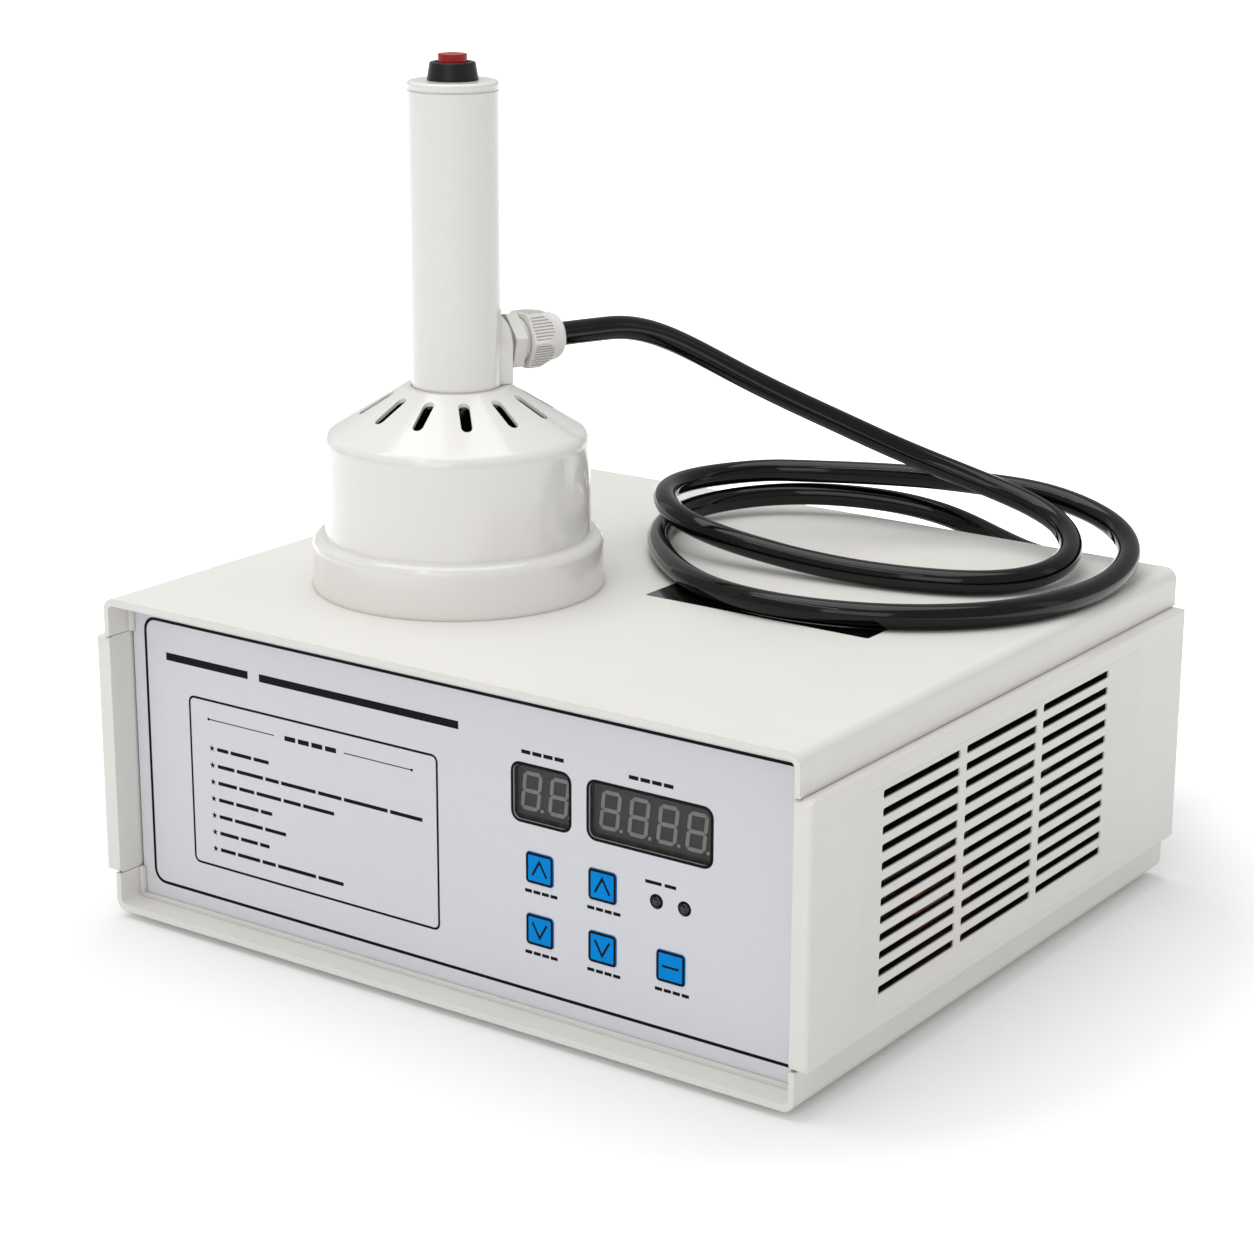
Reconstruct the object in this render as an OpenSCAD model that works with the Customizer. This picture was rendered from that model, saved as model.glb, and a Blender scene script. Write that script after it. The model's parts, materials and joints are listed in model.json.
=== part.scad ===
// Bench induction cap sealer: a vented power box with a hand-held sealing head standing on it.
// Millimetres, +Z up. The origin is the centre of the case, on the surface under the feet.
// The front panel faces -Y.

/* [Case] */
// Width over the top cover and the bottom tray
case_w = 330; // [310:1:380]
// Depth from the front edge to the rear edge
case_d = 295; // [285:1:340]
// Height of the case without its feet
case_h = 134; // [130:1:170]
// Thickness of the top and bottom walls
shell_t = 3; // [2.5:0.1:4]
// Thickness of the skirts at the sides
skirt_t = 2.5; // [2:0.1:4]
// Height of each skirt
skirt_h = 16; // [12:0.5:20]
// Radius of the long edges
edge_r = 5; // [4.5:0.5:7]
// Depth from the case's edges to the face of each end panel
recess = 13; // [12:0.5:20]
// Height of the rubber feet
foot_h = 3; // [2:0.5:12]
// Radius of the rubber feet
foot_r = 9; // [7:0.5:11]

/* [Side panels] */
// Thickness of a side panel at its edges
side_t = 7.5; // [7:0.5:10]
// How far a side panel stands out of the skirts
side_proud = 5; // [4:0.5:7]
// Rows of louvre slots
louvre_rows = 12; // [6:1:13]
// Columns of louvre slots
louvre_columns = 3; // [2:1:3]
// Length of a louvre slot
louvre_l = 55.7; // [40:0.1:60]
// Height of a louvre slot
louvre_h = 3.2; // [2:0.1:4]
// Distance from one row of slots to the next
louvre_pitch = 6.86; // [6:0.01:7.2]
// Web between two columns of slots
louvre_web = 5; // [3:0.5:8]

/* [Front panel] */
// Thickness of the moulded front panel
panel_t = 2; // [1.5:0.1:3]
// Thickness of the printed face
overlay_t = 0.5; // [0.3:0.1:1]
// Height of the digit windows
window_h = 21.4; // [20:0.1:24]
// Width of the two-digit window
time_window_w = 25.6; // [25:0.1:28]
// Width of the four-digit window
power_window_w = 53.5; // [51:0.1:56]
// Width of a key
key_w = 12.4; // [10:0.1:14]
// Height of a key
key_h = 12.2; // [10:0.1:14]
// Travel of a key
key_travel = 0.4; // [0.2:0.05:0.6]
// Radius of an indicator lamp
lamp_r = 2.45; // [1.5:0.05:2.5]

/* [Rear panel] */
// Thickness of the rear panel
rear_t = 2.5; // [2:0.1:3]
// Width and height of the fan frame
fan_w = 80; // [70:1:90]
// Depth of the fan frame
fan_d = 25; // [20:1:32]
// Number of fan blades
fan_blades = 7; // [5:1:9]
// Radius of the fuse holder's barrel
fuse_barrel_r = 6; // [5.6:0.1:6.5]

/* [Sealing head] */
// Radius of the rim around the foot of the head
rim_r = 59.25; // [58.5:0.25:64]
// Height of the rim
rim_h = 21.5; // [20:0.5:26]
// Radius of the head above the rim
drum_r = 54.2; // [53:0.1:55]
// Height of the shoulder where the cone starts
shoulder_z = 62.5; // [58:0.5:66]
// Height of the top of the cone
neck_z = 82; // [80:0.5:90]
// Wall of the head
head_t = 2.5; // [2:0.1:3]
// Number of vent slots in the cone
vent_count = 12; // [6:1:13]
// Width of a vent slot
vent_w = 4.4; // [2:0.1:5]
// Radius of the handle tube
tube_r = 18.2; // [17.6:0.1:19]
// Wall of the handle tube
tube_t = 3; // [2.5:0.1:3.4]
// Height of the handle tube's top above the case
tube_top = 199.2; // [180:0.2:220]
// Radius of the trigger button
button_r = 5.8; // [5:0.1:6]
// Travel of the trigger button
button_travel = 2; // [1:0.1:2.5]

/* [Coil] */
// Diameter of the coil's wire
wire_d = 4; // [3:0.1:4]
// Number of turns in the flat coil
coil_turns = 8; // [5:1:8]
// Number of ferrite bars
ferrite_count = 8; // [6:1:8]

/* [Cable and glands] */
// Diameter of the cable between the box and the head
cable_d = 10; // [8:0.5:10]
// Width across the flats of a gland
gland_af = 22; // [21:0.5:26]
// Diameter of a gland's thread
gland_thread_d = 18.6; // [17:0.1:19]

/* [Electronics] */
// Width of the main board
board_w = 200; // [180:1:205]
// Depth of the main board
board_d = 150; // [140:1:160]
// Thickness of the boards
board_t = 1.6; // [1:0.1:2]
// Radius of a filter capacitor
cap_r = 15; // [10:0.5:17]
// Height of a filter capacitor
cap_h = 45; // [30:1:60]

/* [Hidden] */
$fn = 72;
sides = [-1, 1];

// Overrun of every cut past the face that it opens
over = 1;
// Clearance between pieces that are screwed or laid together
fit_gap = 0.2;
// Radial clearance of a screw in its hole, and of a thread
thread_gap = 0.1;
// Clearance around a piece that moves
run_gap = 0.3;
// Smallest radius of an inner corner
tiny_r = 0.3;

// Heights of the case
top_z = foot_h + case_h;
mid_z = foot_h + case_h / 2;
floor_z = foot_h + shell_t;
ceiling_z = top_z - shell_t;
shell_in_r = max(edge_r - skirt_t, tiny_r);

// Posts that hold the two shells together
post_in_x = 15;
post_in_y = 35.5;
post_r = 5;
boss_r = 4.5;
post_web = 6;
case_screw_r = 1.75;
case_screw_grip = 18;
case_head_r = 3.3;
case_head_h = 2.4;
counterbore_r = case_head_r + fit_gap;
post_x = case_w / 2 - post_in_x;
post_y = case_d / 2 - post_in_y;

// Ribs that hold the end panels
rib_t = 2;
rib_side = 2;
front_rib_h = 1.5;
back_rib_h = 5;

// Side panels
side_in = case_w / 2 + side_proud - side_t;
side_out = case_w / 2 + side_proud;
side_h = case_h - 2 * skirt_h - 2 * fit_gap;
side_r = 2.5;
side_chamfer = 0.8;
side_pocket = 3;
side_rim_z = 7;
side_rim_y = recess + 8;
lip_t = 1.5;
lip_h = 6;
lip_end = 26;
louvre_corner_r = 0.9;
louvre_y = -7.8;
louvre_up = 0.75;
field_margin = 2;
field_depth = 1.8;
field_front_run = 16;
field_rear_run = 26;
field_bottom_run = 5.5;
field_top_run = 1.5;
block_l = louvre_columns * louvre_l + (louvre_columns - 1) * louvre_web;
block_h = (louvre_rows - 1) * louvre_pitch + louvre_h;

// End panels
end_w = min(case_w - 2 * skirt_t, 2 * side_in) - 2 * run_gap;
end_h = case_h - 2 * shell_t - 2 * run_gap;
end_r = shell_in_r + run_gap;
face_y = recess - case_d / 2;
panel_y = face_y + overlay_t;
panel_back = panel_y + panel_t;
overlay_inset = 0.4;
rear_face = case_d / 2 - recess;
rear_in = rear_face - rear_t;

// Places on the front panel, from its centre
window_r = 3;
window_ledge = 1;
pane_t = 1;
time_x = 44.65;
power_x = 93.35;
window_up = 22.75;
key_left_x = 44;
key_mid_x = 72.8;
key_right_x = 103.4;
key_upper = -6.1;
key_lower = -30.8;
lamp_left_x = 96.8;
lamp_right_x = 109.1;
lamp_up = -6.5;
key_r = 1.5;
key_proud = 0.4;
key_flange = 0.8;
key_flange_t = 1;
key_flange_gap = 0.1;
key_stem_r = 1.75;
lamp_tip = 0.8;
lamp_gap = 0.15;

// Display board behind the front panel
module_w_gap = 0.6;
module_h = 19;
module_d = 8;
module_gap = 0.2;
disp_x = 77;
disp_up = -2;
disp_w = 110;
disp_h = 80;
stud_in = 5;
stud_r = 3.5;
small_screw_r = 1.25;
small_head_r = 2.4;
small_head_h = 1.8;
small_screw_l = 7;
disp_y = panel_back + module_gap + module_d;
tact_w = 6;
tact_t = 3.5;
collar_r = 2.5;
collar_h = 2;
collar_gap = 0.1;

// Fan
fan_x = 20;
fan_up = 0;
fan_wall = 2;
fan_flange_t = 3.5;
fan_corner_r = 4;
fan_screw_in = 4.25;
fan_screw_r = 2;
fan_head_r = 3.8;
fan_head_h = 2.6;
fan_hub_r = 16;
fan_strut_w = 3;
fan_plate_t = 3;
fan_bush_r = 3.5;
fan_shaft_r = 1.5;
fan_shaft_gap = 0.05;
fan_tip_gap = 1.5;
fan_cup_t = 1.6;
fan_blade_t = 1.6;
fan_blade_tilt = 40;
fan_blade_share = 0.25;
fan_end_gap = 2;
fan_bore_r = fan_w / 2 - fan_wall;
fan_pitch = fan_w / 2 - fan_screw_in;
guard_wire_r = 0.8;
guard_rings = 4;
guard_rim_share = 0.5;
guard_weld = 0.3;
guard_eye_r = 4;

// Mains inlet
inlet_x_share = -23 / 66;
inlet_x = inlet_x_share * case_w;
inlet_up = -10;
inlet_flange_w = 50;
inlet_flange_h = 23;
inlet_flange_t = 3;
inlet_r = 2;
inlet_body_w = 27.2;
inlet_body_h = 19.8;
inlet_body_d = 22;
inlet_wall = 1.6;
inlet_cavity_d = 17;
inlet_chamfer = 4;
inlet_screw_x = 20;
inlet_screw_r = 1.5;
inlet_head_r = 2.8;
inlet_head_h = 1.8;
pin_w = 2;
pin_h = 4;
pin_back = 5;
pin_tail = 6;
pin_apart = 7;
pin_rise = 4;

// Mains switch
switch_x_share = -2 / 11;
switch_x = switch_x_share * case_w;
switch_up = 18;
switch_bezel_w = 24;
switch_bezel_h = 32;
switch_bezel_t = 2;
switch_body_w = 21;
switch_body_h = 28.6;
switch_body_d = 17;
rocker_r = 12;
rocker_w = 16;
rocker_dip = 1;
rocker_tip = 4;
rocker_mid = 1.6;
rocker_back = 3;
rocker_tilt = 12;
rocker_pin_r = 1.5;
rocker_pin_l = 1.5;
rocker_pin_gap = 0.08;

// Fuse holder
fuse_x = switch_x;
fuse_up = -22;
fuse_flange_r = 9;
fuse_flange_t = 2;
fuse_barrel_l = 34;
fuse_cap_r = 7;
fuse_cap_h = 5;
fuse_stem_r = 4.3;
fuse_stem_l = 11;
fuse_slot_w = 2;
fuse_slot_d = 1.2;
fuse_r = 2.6;
fuse_glass_r = 2.35;
fuse_l = 20;
fuse_end_l = 5;
fuse_end_gap = 0.3;

// Main board and what it carries
board_in = 8;
board_x = board_in + (board_w - case_w) / 2;
board_y = 0;
standoff_h = 8;
standoff_r = 3.5;
standoff_in = 5;
board_screw_r = 1.5;
board_head_r = 2.8;
board_head_h = 2;
board_screw_l = 7;
board_z = floor_z + standoff_h;
board_top = board_z + board_t;
sink_w = 120;
sink_d = 60;
sink_h = 40;
sink_base = 6;
sink_shelf = 24;
sink_fins = 12;
fin_t = 2.5;
sink_x_share = -0.13;
sink_y_share = 0.25;
device_count = 4;
device_w = 15.6;
device_l = 20;
device_t = 5;
leg_w = 1.2;
leg_t = 0.6;
leg_pitch = 5.45;
leg_reach = 3;
rectifier_w = 28;
rectifier_h = 9;
rectifier_hole_r = 2.4;
rectifier_x_share = 0.4;
rectifier_y_share = 0.3;
cap_edge_r = 2;
cap_pinch = 1;
cap_x_shares = [0.05, 0.23, 0.4];
cap_y_share = -0.32;
reson_w = 57;
reson_d = 30;
reson_h = 40;
reson_r = 3;
reson_post_r = 4;
reson_post_h = 6;
reson_apart = 16;
reson_x_share = -0.28;
reson_y_share = -0.3;
choke_r = 17;
choke_wire_r = 7;
choke_turns = 20;
choke_ridge_r = 1.4;
choke_x_share = 0.33;
choke_y_share = 0.02;
core_w = 66;
core_d = 34;
core_h = 55;
core_in = 38;
core_x = case_w / 2 - core_in;
core_y = -20;
core_leg_share = 1 / 3;
winding_gap = 0.3;
winding_out = 10;

// Inlay on the top
inlay_w = 104;
inlay_d = 32;
inlay_t = 0.9;
inlay_pocket = 1;
inlay_x = 60.7;
inlay_y = 0;
inlay_r = 1;

// Sealing head
head_x = -65;
head_y = -44;
drum_draft = 0.7;
neck_lip = 3.1;
rim_round_share = 0.8;
rim_fillet_share = 0.15;
shoulder_r = 6;
neck_round = 1.5;
collar_depth = 18;
collar_ledge_r = 14;
tube_gap = 0.15;
drum_top_r = drum_r - drum_draft;
neck_r = tube_r + neck_lip;
rim_round = rim_round_share * (rim_r - drum_r);
rim_fillet = rim_fillet_share * (rim_r - drum_r);
ledge_z = neck_z - collar_depth;
vent_in_r = 25.2;
vent_out_r = 39.3;
vent_turn = -45.6;
tube_lean = 0.2;
base_lift = 1;
base_t = 3;
base_gap = 0.25;
base_boss_r = 3.5;
base_screw_r = 1.5;
base_screw_l = 12;
base_head_r = 3;
base_head_h = 1.6;
base_screw_at = rim_r - head_t - base_gap - base_boss_r - fit_gap;
coil_in_r = 18;
coil_gap = 0.1;
coil_pack_share = 0.975;
former_t = 2;
former_hole_r = 12;
former_margin = 0.4;
ferrite_w = 10;
ferrite_l = 28;
ferrite_h = 6;
ferrite_in_r = 15;
base_top = base_lift + base_t;
coil_pitch = wire_d * coil_pack_share;
coil_out_r = coil_in_r + (coil_turns - 1) * coil_pitch + wire_d / 2;
former_z = base_top + wire_d + 2 * coil_gap;

// Pad on the handle tube that carries the gland
gland_turn = 70;
gland_z = 97;
pad_r = 19.3;
pad_w = 24;

// Top of the handle
cap_neck_r = 17.8;
cap_neck_h = 0.6;
cap_disc_r = 18.1;
cap_disc_h = 3.2;
cap_round = 1.4;
spigot_h = 10;
bezel_r = 10.2;
bezel_top_r = 9;
bezel_mouth_r = 7.3;
bezel_mouth_d = 2.2;
bezel_h = 7.1;
bezel_round = 0.8;
switch_barrel_r = 7.8;
switch_barrel_l = 33;
button_pocket = 9;
stem_r = 1.9;
stem_gap = 0.08;
stem_l = 13.5;
stem_spare = 2;
button_sink = 1.5;
button_left = 1.1;
button_stand = button_travel + button_left;
stem_bore_depth = stem_l + button_sink - button_pocket + button_travel + stem_spare;
button_flat_share = 0.7;
button_dish = 0.5;
button_edge_r = 0.6;
terminal_w = 2.8;
terminal_t = 0.8;
terminal_l = 6;
spring_r = 4;
spring_wire_r = 0.4;
spring_turns = 4;
spring_steps = 10;
spring_sides = 6;
cap_z = tube_top + cap_neck_h;
cap_top = cap_z + cap_disc_h;
button_base = cap_top - button_sink;
button_top = cap_top + bezel_h + button_stand;
pocket_floor = cap_top - button_pocket;

// Cable gland
gland_foot_l = 1.8;
gland_foot_lip = 1;
gland_hex_l = 5.4;
gland_hex_turn = 17;
gland_stub_l = 6;
gland_seal = 0.6;
gland_groove = 3.3;
nut_l = 18;
nut_grip_l = 5.9;
nut_dome = 5.7;
nut_mouth = 0.6;
nut_round = 3;
nut_turn = 30;
nut_rib_w = 0.55;
nut_rib_d = 0.3;
nut_rib_pitch = 1.35;
nut_rib_l = 9.4;
nut_ribs = 8;
cable_seat = 8;
locknut_t = 5;
locknut_over = 1;
rear_gland_x = 115;
rear_gland_z = 34;
gland_nut_z = gland_foot_l + gland_hex_l + gland_groove;
gland_l = gland_nut_z + nut_l;
gland_bore_r = cable_d / 2 + 2 * run_gap;
gland_stub_bore_r = cable_d / 2 - gland_seal;
gland_thread_r = gland_thread_d / 2;
gland_neck_l = nut_l - cable_seat;

// The cable's route, in whole millimetres: x and y from the case's centre, z from the top's face.
// It leaves the head, lies in two loose loops on the top, and drops behind it to the rear gland.
ROUTE = [
    [-49, 1, 97], [-45, 12, 97], [-41, 22, 97], [-37, 32, 97], [-31, 47, 93], [-22, 63, 84],
    [-9, 81, 71], [7, 98, 59], [23, 112, 49], [41, 124, 39], [61, 133, 31], [83, 139, 24],
    [103, 139, 19], [120, 131, 15], [132, 117, 11], [137, 101, 8], [135, 85, 6], [127, 71, 5],
    [115, 60, 5], [98, 53, 5], [75, 48, 5], [53, 45, 6], [30, 43, 8], [6, 42, 11],
    [-13, 45, 14], [-28, 53, 16], [-40, 66, 18], [-46, 82, 18], [-45, 99, 18], [-38, 115, 18],
    [-25, 128, 19], [-9, 136, 19], [9, 141, 20], [28, 145, 21], [50, 148, 22], [72, 150, 22],
    [93, 152, 22], [113, 151, 20], [131, 146, 17], [145, 137, 14], [155, 124, 10], [160, 106, 7],
    [161, 85, 5], [159, 63, 5], [153, 42, 5], [143, 24, 5], [128, 9, 5], [110, -3, 5],
    [88, -11, 5], [65, -14, 5], [41, -11, 5], [17, 0, 5], [-8, 21, 5], [-27, 43, 5],
    [-38, 63, 5], [-43, 83, 6], [-39, 104, 7], [-27, 123, 8], [-9, 136, 9], [13, 144, 9],
    [35, 149, 8], [54, 157, 3], [66, 169, -6], [74, 184, -15], [80, 201, -22], [86, 220, -29],
    [93, 236, -42], [99, 243, -61], [105, 239, -82], [111, 223, -98], [114, 203, -103],
    [115, 189, -103], [115, 175, -103], [115, 163, -103]];
cable_sides = 10;
cable_lift = 0.2;

// Colours
case_c = [0.86, 0.85, 0.82];
inner_c = [0.80, 0.79, 0.76];
print_c = [0.80, 0.81, 0.84];
black_c = [0.08, 0.08, 0.09];
dark_c = [0.16, 0.16, 0.17];
board_c = [0.10, 0.35, 0.16];
blue_c = [0.10, 0.40, 0.80];
steel_c = [0.72, 0.73, 0.75];
copper_c = [0.72, 0.42, 0.20];
red_c = [0.75, 0.10, 0.08];
brass_c = [0.78, 0.62, 0.30];
ferrite_c = [0.25, 0.25, 0.27];
cream_c = [0.90, 0.86, 0.72];
window_c = [0.20, 0.05, 0.05, 0.5];

// Flat outlines

// Rectangle about its centre with true arcs at the corners
module rrect(w, h, r) {
    square([w, h - 2 * r], center = true);
    square([w - 2 * r, h], center = true);
    for (i = sides, j = sides)
        translate([i * (w / 2 - r), j * (h / 2 - r)])
            circle(r);
}

// Upright trough outline: open at the top, rounded at the two bottom corners
module trough(w, h, r) {
    translate([-w / 2, r])
        square([w, h - r]);
    translate([r - w / 2, 0])
        square([w - 2 * r, h]);
    for (i = sides)
        translate([i * (w / 2 - r), r])
            circle(r);
}

// Points of an outline whose corners are rounded; each entry is x, y and the corner's radius
arc_steps = 6;
function unit(v) = v / norm(v);
function flat(p) = [p[0], p[1]];
function corner(a, b, c, r) =
    let (
        u = unit(a - b),
        v = unit(c - b),
        half = acos(u * v) / 2,
        centre = b + unit(u + v) * r / sin(half),
        p = b + u * r / tan(half) - centre,
        q = b + v * r / tan(half) - centre
    )
    [for (i = [0:arc_steps]) centre + unit(p * (arc_steps - i) + q * i) * r];
function rounded(pts) =
    let (n = len(pts))
    [for (i = [0:n - 1]) each pts[i][2] == 0 ? [flat(pts[i])] :
        corner(flat(pts[(i + n - 1) % n]), flat(pts[i]), flat(pts[(i + 1) % n]), pts[i][2])];

// Slot with softly rounded corners, about its centre
module soft_slot(w, h, r) {
    polygon(rounded([[-w / 2, -h / 2, r], [w / 2, -h / 2, r], [w / 2, h / 2, r], [-w / 2, h / 2, r]]));
}

// Directions

// Extrudes an x-z outline along Y, about the middle
module along_y(l) {
    rotate([90, 0, 0])
        linear_extrude(l, center = true)
            children();
}

// Extrudes an x-z outline towards +Y, from y0
module facing(y0, t) {
    translate([0, y0 + t, 0])
        rotate([90, 0, 0])
            linear_extrude(t)
                children();
}

// Extrudes a y-z outline towards +X, from x0
module sideways(x0, t) {
    translate([x0, 0, 0])
        rotate([90, 0, 90])
            linear_extrude(t)
                children();
}

// Cylinder towards +Y from y0
module rod_y(x, y0, z, r, l) {
    translate([x, y0, z])
        rotate([-90, 0, 0])
            cylinder(r = r, h = l);
}

module at_head() {
    translate([head_x, head_y, top_z])
        children();
}

module at_gland() {
    at_head()
        rotate([0, 0, gland_turn])
            translate([pad_r, 0, gland_z])
                rotate([0, 90, 0])
                    children();
}

module at_rear_gland() {
    translate([rear_gland_x, rear_face, rear_gland_z])
        rotate([-90, 0, 0])
            children();
}

// Case

// Outline of a shell, with its floor and its skirts made thicker where a rib runs
module shell_outline(rise, inset) {
    difference() {
        trough(case_w, skirt_h, edge_r);
        translate([0, shell_t + rise])
            trough(case_w - 2 * (skirt_t + inset), skirt_h, max(shell_in_r - inset, tiny_r));
    }
}

// Thickness of the front panel with its printed face, and of the rear panel
function end_t(side) = side < 0 ? panel_t + overlay_t : rear_t;

// Ribs before and behind each end panel
module shell_ribs() {
    for (i = sides) {
        translate([0, i * (case_d / 2 - recess + fit_gap + rib_t / 2), 0])
            along_y(rib_t)
                shell_outline(front_rib_h, rib_side);
        translate([0, i * (case_d / 2 - recess - end_t(i) - fit_gap - rib_t / 2), 0])
            along_y(rib_t)
                shell_outline(back_rib_h, rib_side);
    }
}

module at_posts() {
    for (i = sides, j = sides)
        translate([i * post_x, j * post_y, 0])
            children();
}

module top_cover() {
    color(case_c)
        difference() {
            union() {
                translate([0, 0, top_z])
                    mirror([0, 0, 1]) {
                        along_y(case_d)
                            shell_outline(0, 0);
                        shell_ribs();
                    }
                at_posts()
                    translate([0, 0, mid_z])
                        cylinder(r = boss_r, h = ceiling_z - mid_z + shell_t / 2);
            }
            at_posts()
                translate([0, 0, mid_z - over])
                    cylinder(r = case_screw_r + thread_gap, h = case_screw_grip + 2 * over);
            translate([inlay_x, inlay_y, top_z - inlay_pocket])
                linear_extrude(inlay_pocket + over)
                    rrect(inlay_w + 2 * fit_gap, inlay_d + 2 * fit_gap, inlay_r + fit_gap);
        }
}

module at_standoffs() {
    for (i = sides, j = sides)
        translate([board_x + i * (board_w / 2 - standoff_in), board_y + j * (board_d / 2 - standoff_in), 0])
            children();
}

module bottom_tray() {
    color(case_c)
        difference() {
            union() {
                translate([0, 0, foot_h]) {
                    along_y(case_d)
                        shell_outline(0, 0);
                    shell_ribs();
                }
                at_posts()
                    translate([0, 0, floor_z - shell_t / 2])
                        cylinder(r = post_r, h = mid_z - floor_z + shell_t / 2);
                at_standoffs()
                    translate([0, 0, floor_z - shell_t / 2])
                        cylinder(r = standoff_r, h = standoff_h + shell_t / 2);
            }
            at_posts() {
                translate([0, 0, foot_h - over])
                    cylinder(r = counterbore_r, h = mid_z - post_web - foot_h + over);
                cylinder(r = case_screw_r + thread_gap, h = mid_z + over);
            }
            at_standoffs()
                translate([0, 0, floor_z])
                    cylinder(r = board_screw_r + thread_gap, h = standoff_h + over);
        }
}

// Bar between two x values whose outer edge is chamfered, as an outline of x and a width
function chamfered(w) = [
    [side_in, -w / 2], [side_out - side_chamfer, -w / 2], [side_out, side_chamfer - w / 2],
    [side_out, w / 2 - side_chamfer], [side_out - side_chamfer, w / 2], [side_in, w / 2]];

// Trapezoid from the field's floor out past the panel's face, as an outline of x and a width
function field(lo, hi, lo_run, hi_run) = [
    [side_out - field_depth, lo], [side_out, lo - lo_run], [side_out + over, lo - lo_run],
    [side_out + over, hi + hi_run], [side_out, hi + hi_run], [side_out - field_depth, hi]];

// Right-hand side panel with its louvres in a bevelled field
module side_panel() {
    translate([0, 0, mid_z]) {
        difference() {
            intersection() {
                sideways(side_in, side_t)
                    rrect(case_d, side_h, side_r);
                along_y(case_d)
                    polygon(chamfered(side_h));
                linear_extrude(side_h, center = true)
                    polygon(chamfered(case_d));
            }
            sideways(side_in - over, side_pocket + over)
                rrect(case_d - 2 * side_rim_y, side_h - 2 * side_rim_z, side_r);
            translate([0, louvre_y, louvre_up])
                intersection() {
                    linear_extrude(case_h, center = true)
                        polygon(field(-block_l / 2 - field_margin, block_l / 2 + field_margin,
                            field_front_run, field_rear_run));
                    along_y(case_d)
                        polygon(field(-block_h / 2 - field_margin, block_h / 2 + field_margin,
                            field_bottom_run, field_top_run));
                }
            translate([0, louvre_y, louvre_up])
                sideways(side_in, side_t)
                    for (i = [0:louvre_columns - 1], j = [0:louvre_rows - 1])
                        translate([
                            i * (louvre_l + louvre_web) + (louvre_l - block_l) / 2,
                            j * louvre_pitch + (louvre_h - block_h) / 2])
                            soft_slot(louvre_l, louvre_h, louvre_corner_r);
        }
        // Lips that hook behind the skirts
        for (j = [0, 1])
            mirror([0, 0, j])
                along_y(case_d - 2 * (recess + lip_end)) {
                    translate([side_in - fit_gap - lip_t, side_h / 2 - lip_h])
                        square([lip_t, 2 * lip_h]);
                    translate([side_in - fit_gap - lip_t, side_h / 2 - lip_h])
                        square([lip_t + 2 * fit_gap, lip_h - fit_gap]);
                }
    }
}

module right_side_panel() {
    color(case_c)
        side_panel();
}

module left_side_panel() {
    color(case_c)
        mirror([1, 0, 0])
            side_panel();
}

module rubber_feet() {
    foot_in_x = 40;
    foot_in_y = 42.5;
    foot_draft = 0.5;
    color(black_c)
        for (i = sides, j = sides)
            translate([i * (case_w / 2 - foot_in_x), j * (case_d / 2 - foot_in_y), 0])
                cylinder(r1 = foot_r - foot_draft, r2 = foot_r, h = foot_h);
}

module case_screws() {
    color(steel_c)
        at_posts()
            translate([0, 0, mid_z - post_web]) {
                cylinder(r = case_screw_r, h = post_web + case_screw_grip);
                translate([0, 0, -case_head_h])
                    cylinder(r = case_head_r, h = case_head_h);
            }
}

module top_plate() {
    color(black_c)
        translate([inlay_x, inlay_y, top_z - inlay_pocket])
            linear_extrude(inlay_t)
                rrect(inlay_w, inlay_d, inlay_r);
}

// Front panel

KEYS = [[key_left_x, key_upper], [key_left_x, key_lower], [key_mid_x, key_upper],
    [key_mid_x, key_lower], [key_right_x, key_lower]];
WINDOWS = [[time_x, time_window_w], [power_x, power_window_w]];
LAMPS = [lamp_left_x, lamp_right_x];

// Holes for the windows, keys and lamps, with the windows made larger by a ledge
module front_holes(ledge) {
    translate([0, mid_z]) {
        for (w = WINDOWS)
            translate([w[0], window_up])
                rrect(w[1] + 2 * ledge, window_h + 2 * ledge, window_r);
        for (k = KEYS)
            translate(k)
                rrect(key_w + 2 * fit_gap, key_h + 2 * fit_gap, key_r + fit_gap);
        for (x = LAMPS)
            translate([x, lamp_up])
                circle(lamp_r + lamp_gap);
    }
}

module at_studs() {
    for (i = sides, j = sides)
        translate([disp_x + i * (disp_w / 2 - stud_in), 0, mid_z + disp_up + j * (disp_h / 2 - stud_in)])
            children();
}

module front_panel() {
    color(inner_c)
        difference() {
            union() {
                facing(panel_y, panel_t)
                    difference() {
                        translate([0, mid_z])
                            rrect(end_w, end_h, end_r);
                        front_holes(window_ledge);
                    }
                at_studs()
                    rod_y(0, panel_back - panel_t / 2, 0, stud_r, disp_y - panel_back + panel_t / 2);
            }
            at_studs()
                rod_y(0, panel_back, 0, small_screw_r + thread_gap, disp_y - panel_back + over);
        }
}

module panel_overlay() {
    color(print_c)
        facing(face_y, overlay_t)
            difference() {
                translate([0, mid_z])
                    rrect(end_w - 2 * overlay_inset, end_h - 2 * overlay_inset, end_r);
                front_holes(0);
            }
}

module display_windows() {
    color(window_c)
        for (w = WINDOWS)
            facing(panel_y, pane_t)
                translate([w[0], mid_z + window_up])
                    rrect(w[1] + 2 * (window_ledge - thread_gap),
                        window_h + 2 * (window_ledge - thread_gap), window_r);
}

// One key cap with its flange and stem, pressed towards +Y
module key(k) {
    flange_y = panel_back + key_flange_gap;
    bore_floor = disp_y - tact_t;
    color(blue_c)
        translate([k[0], 0, mid_z + k[1]]) {
            facing(face_y - key_proud, flange_y - face_y + key_proud)
                rrect(key_w, key_h, key_r);
            facing(flange_y, key_flange_t)
                rrect(key_w + 2 * key_flange, key_h + 2 * key_flange, key_r);
            rod_y(0, flange_y, 0, key_stem_r, bore_floor - key_travel - run_gap - flange_y);
        }
}

module time_up_key() {
    key(KEYS[0]);
}

module time_down_key() {
    key(KEYS[1]);
}

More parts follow.
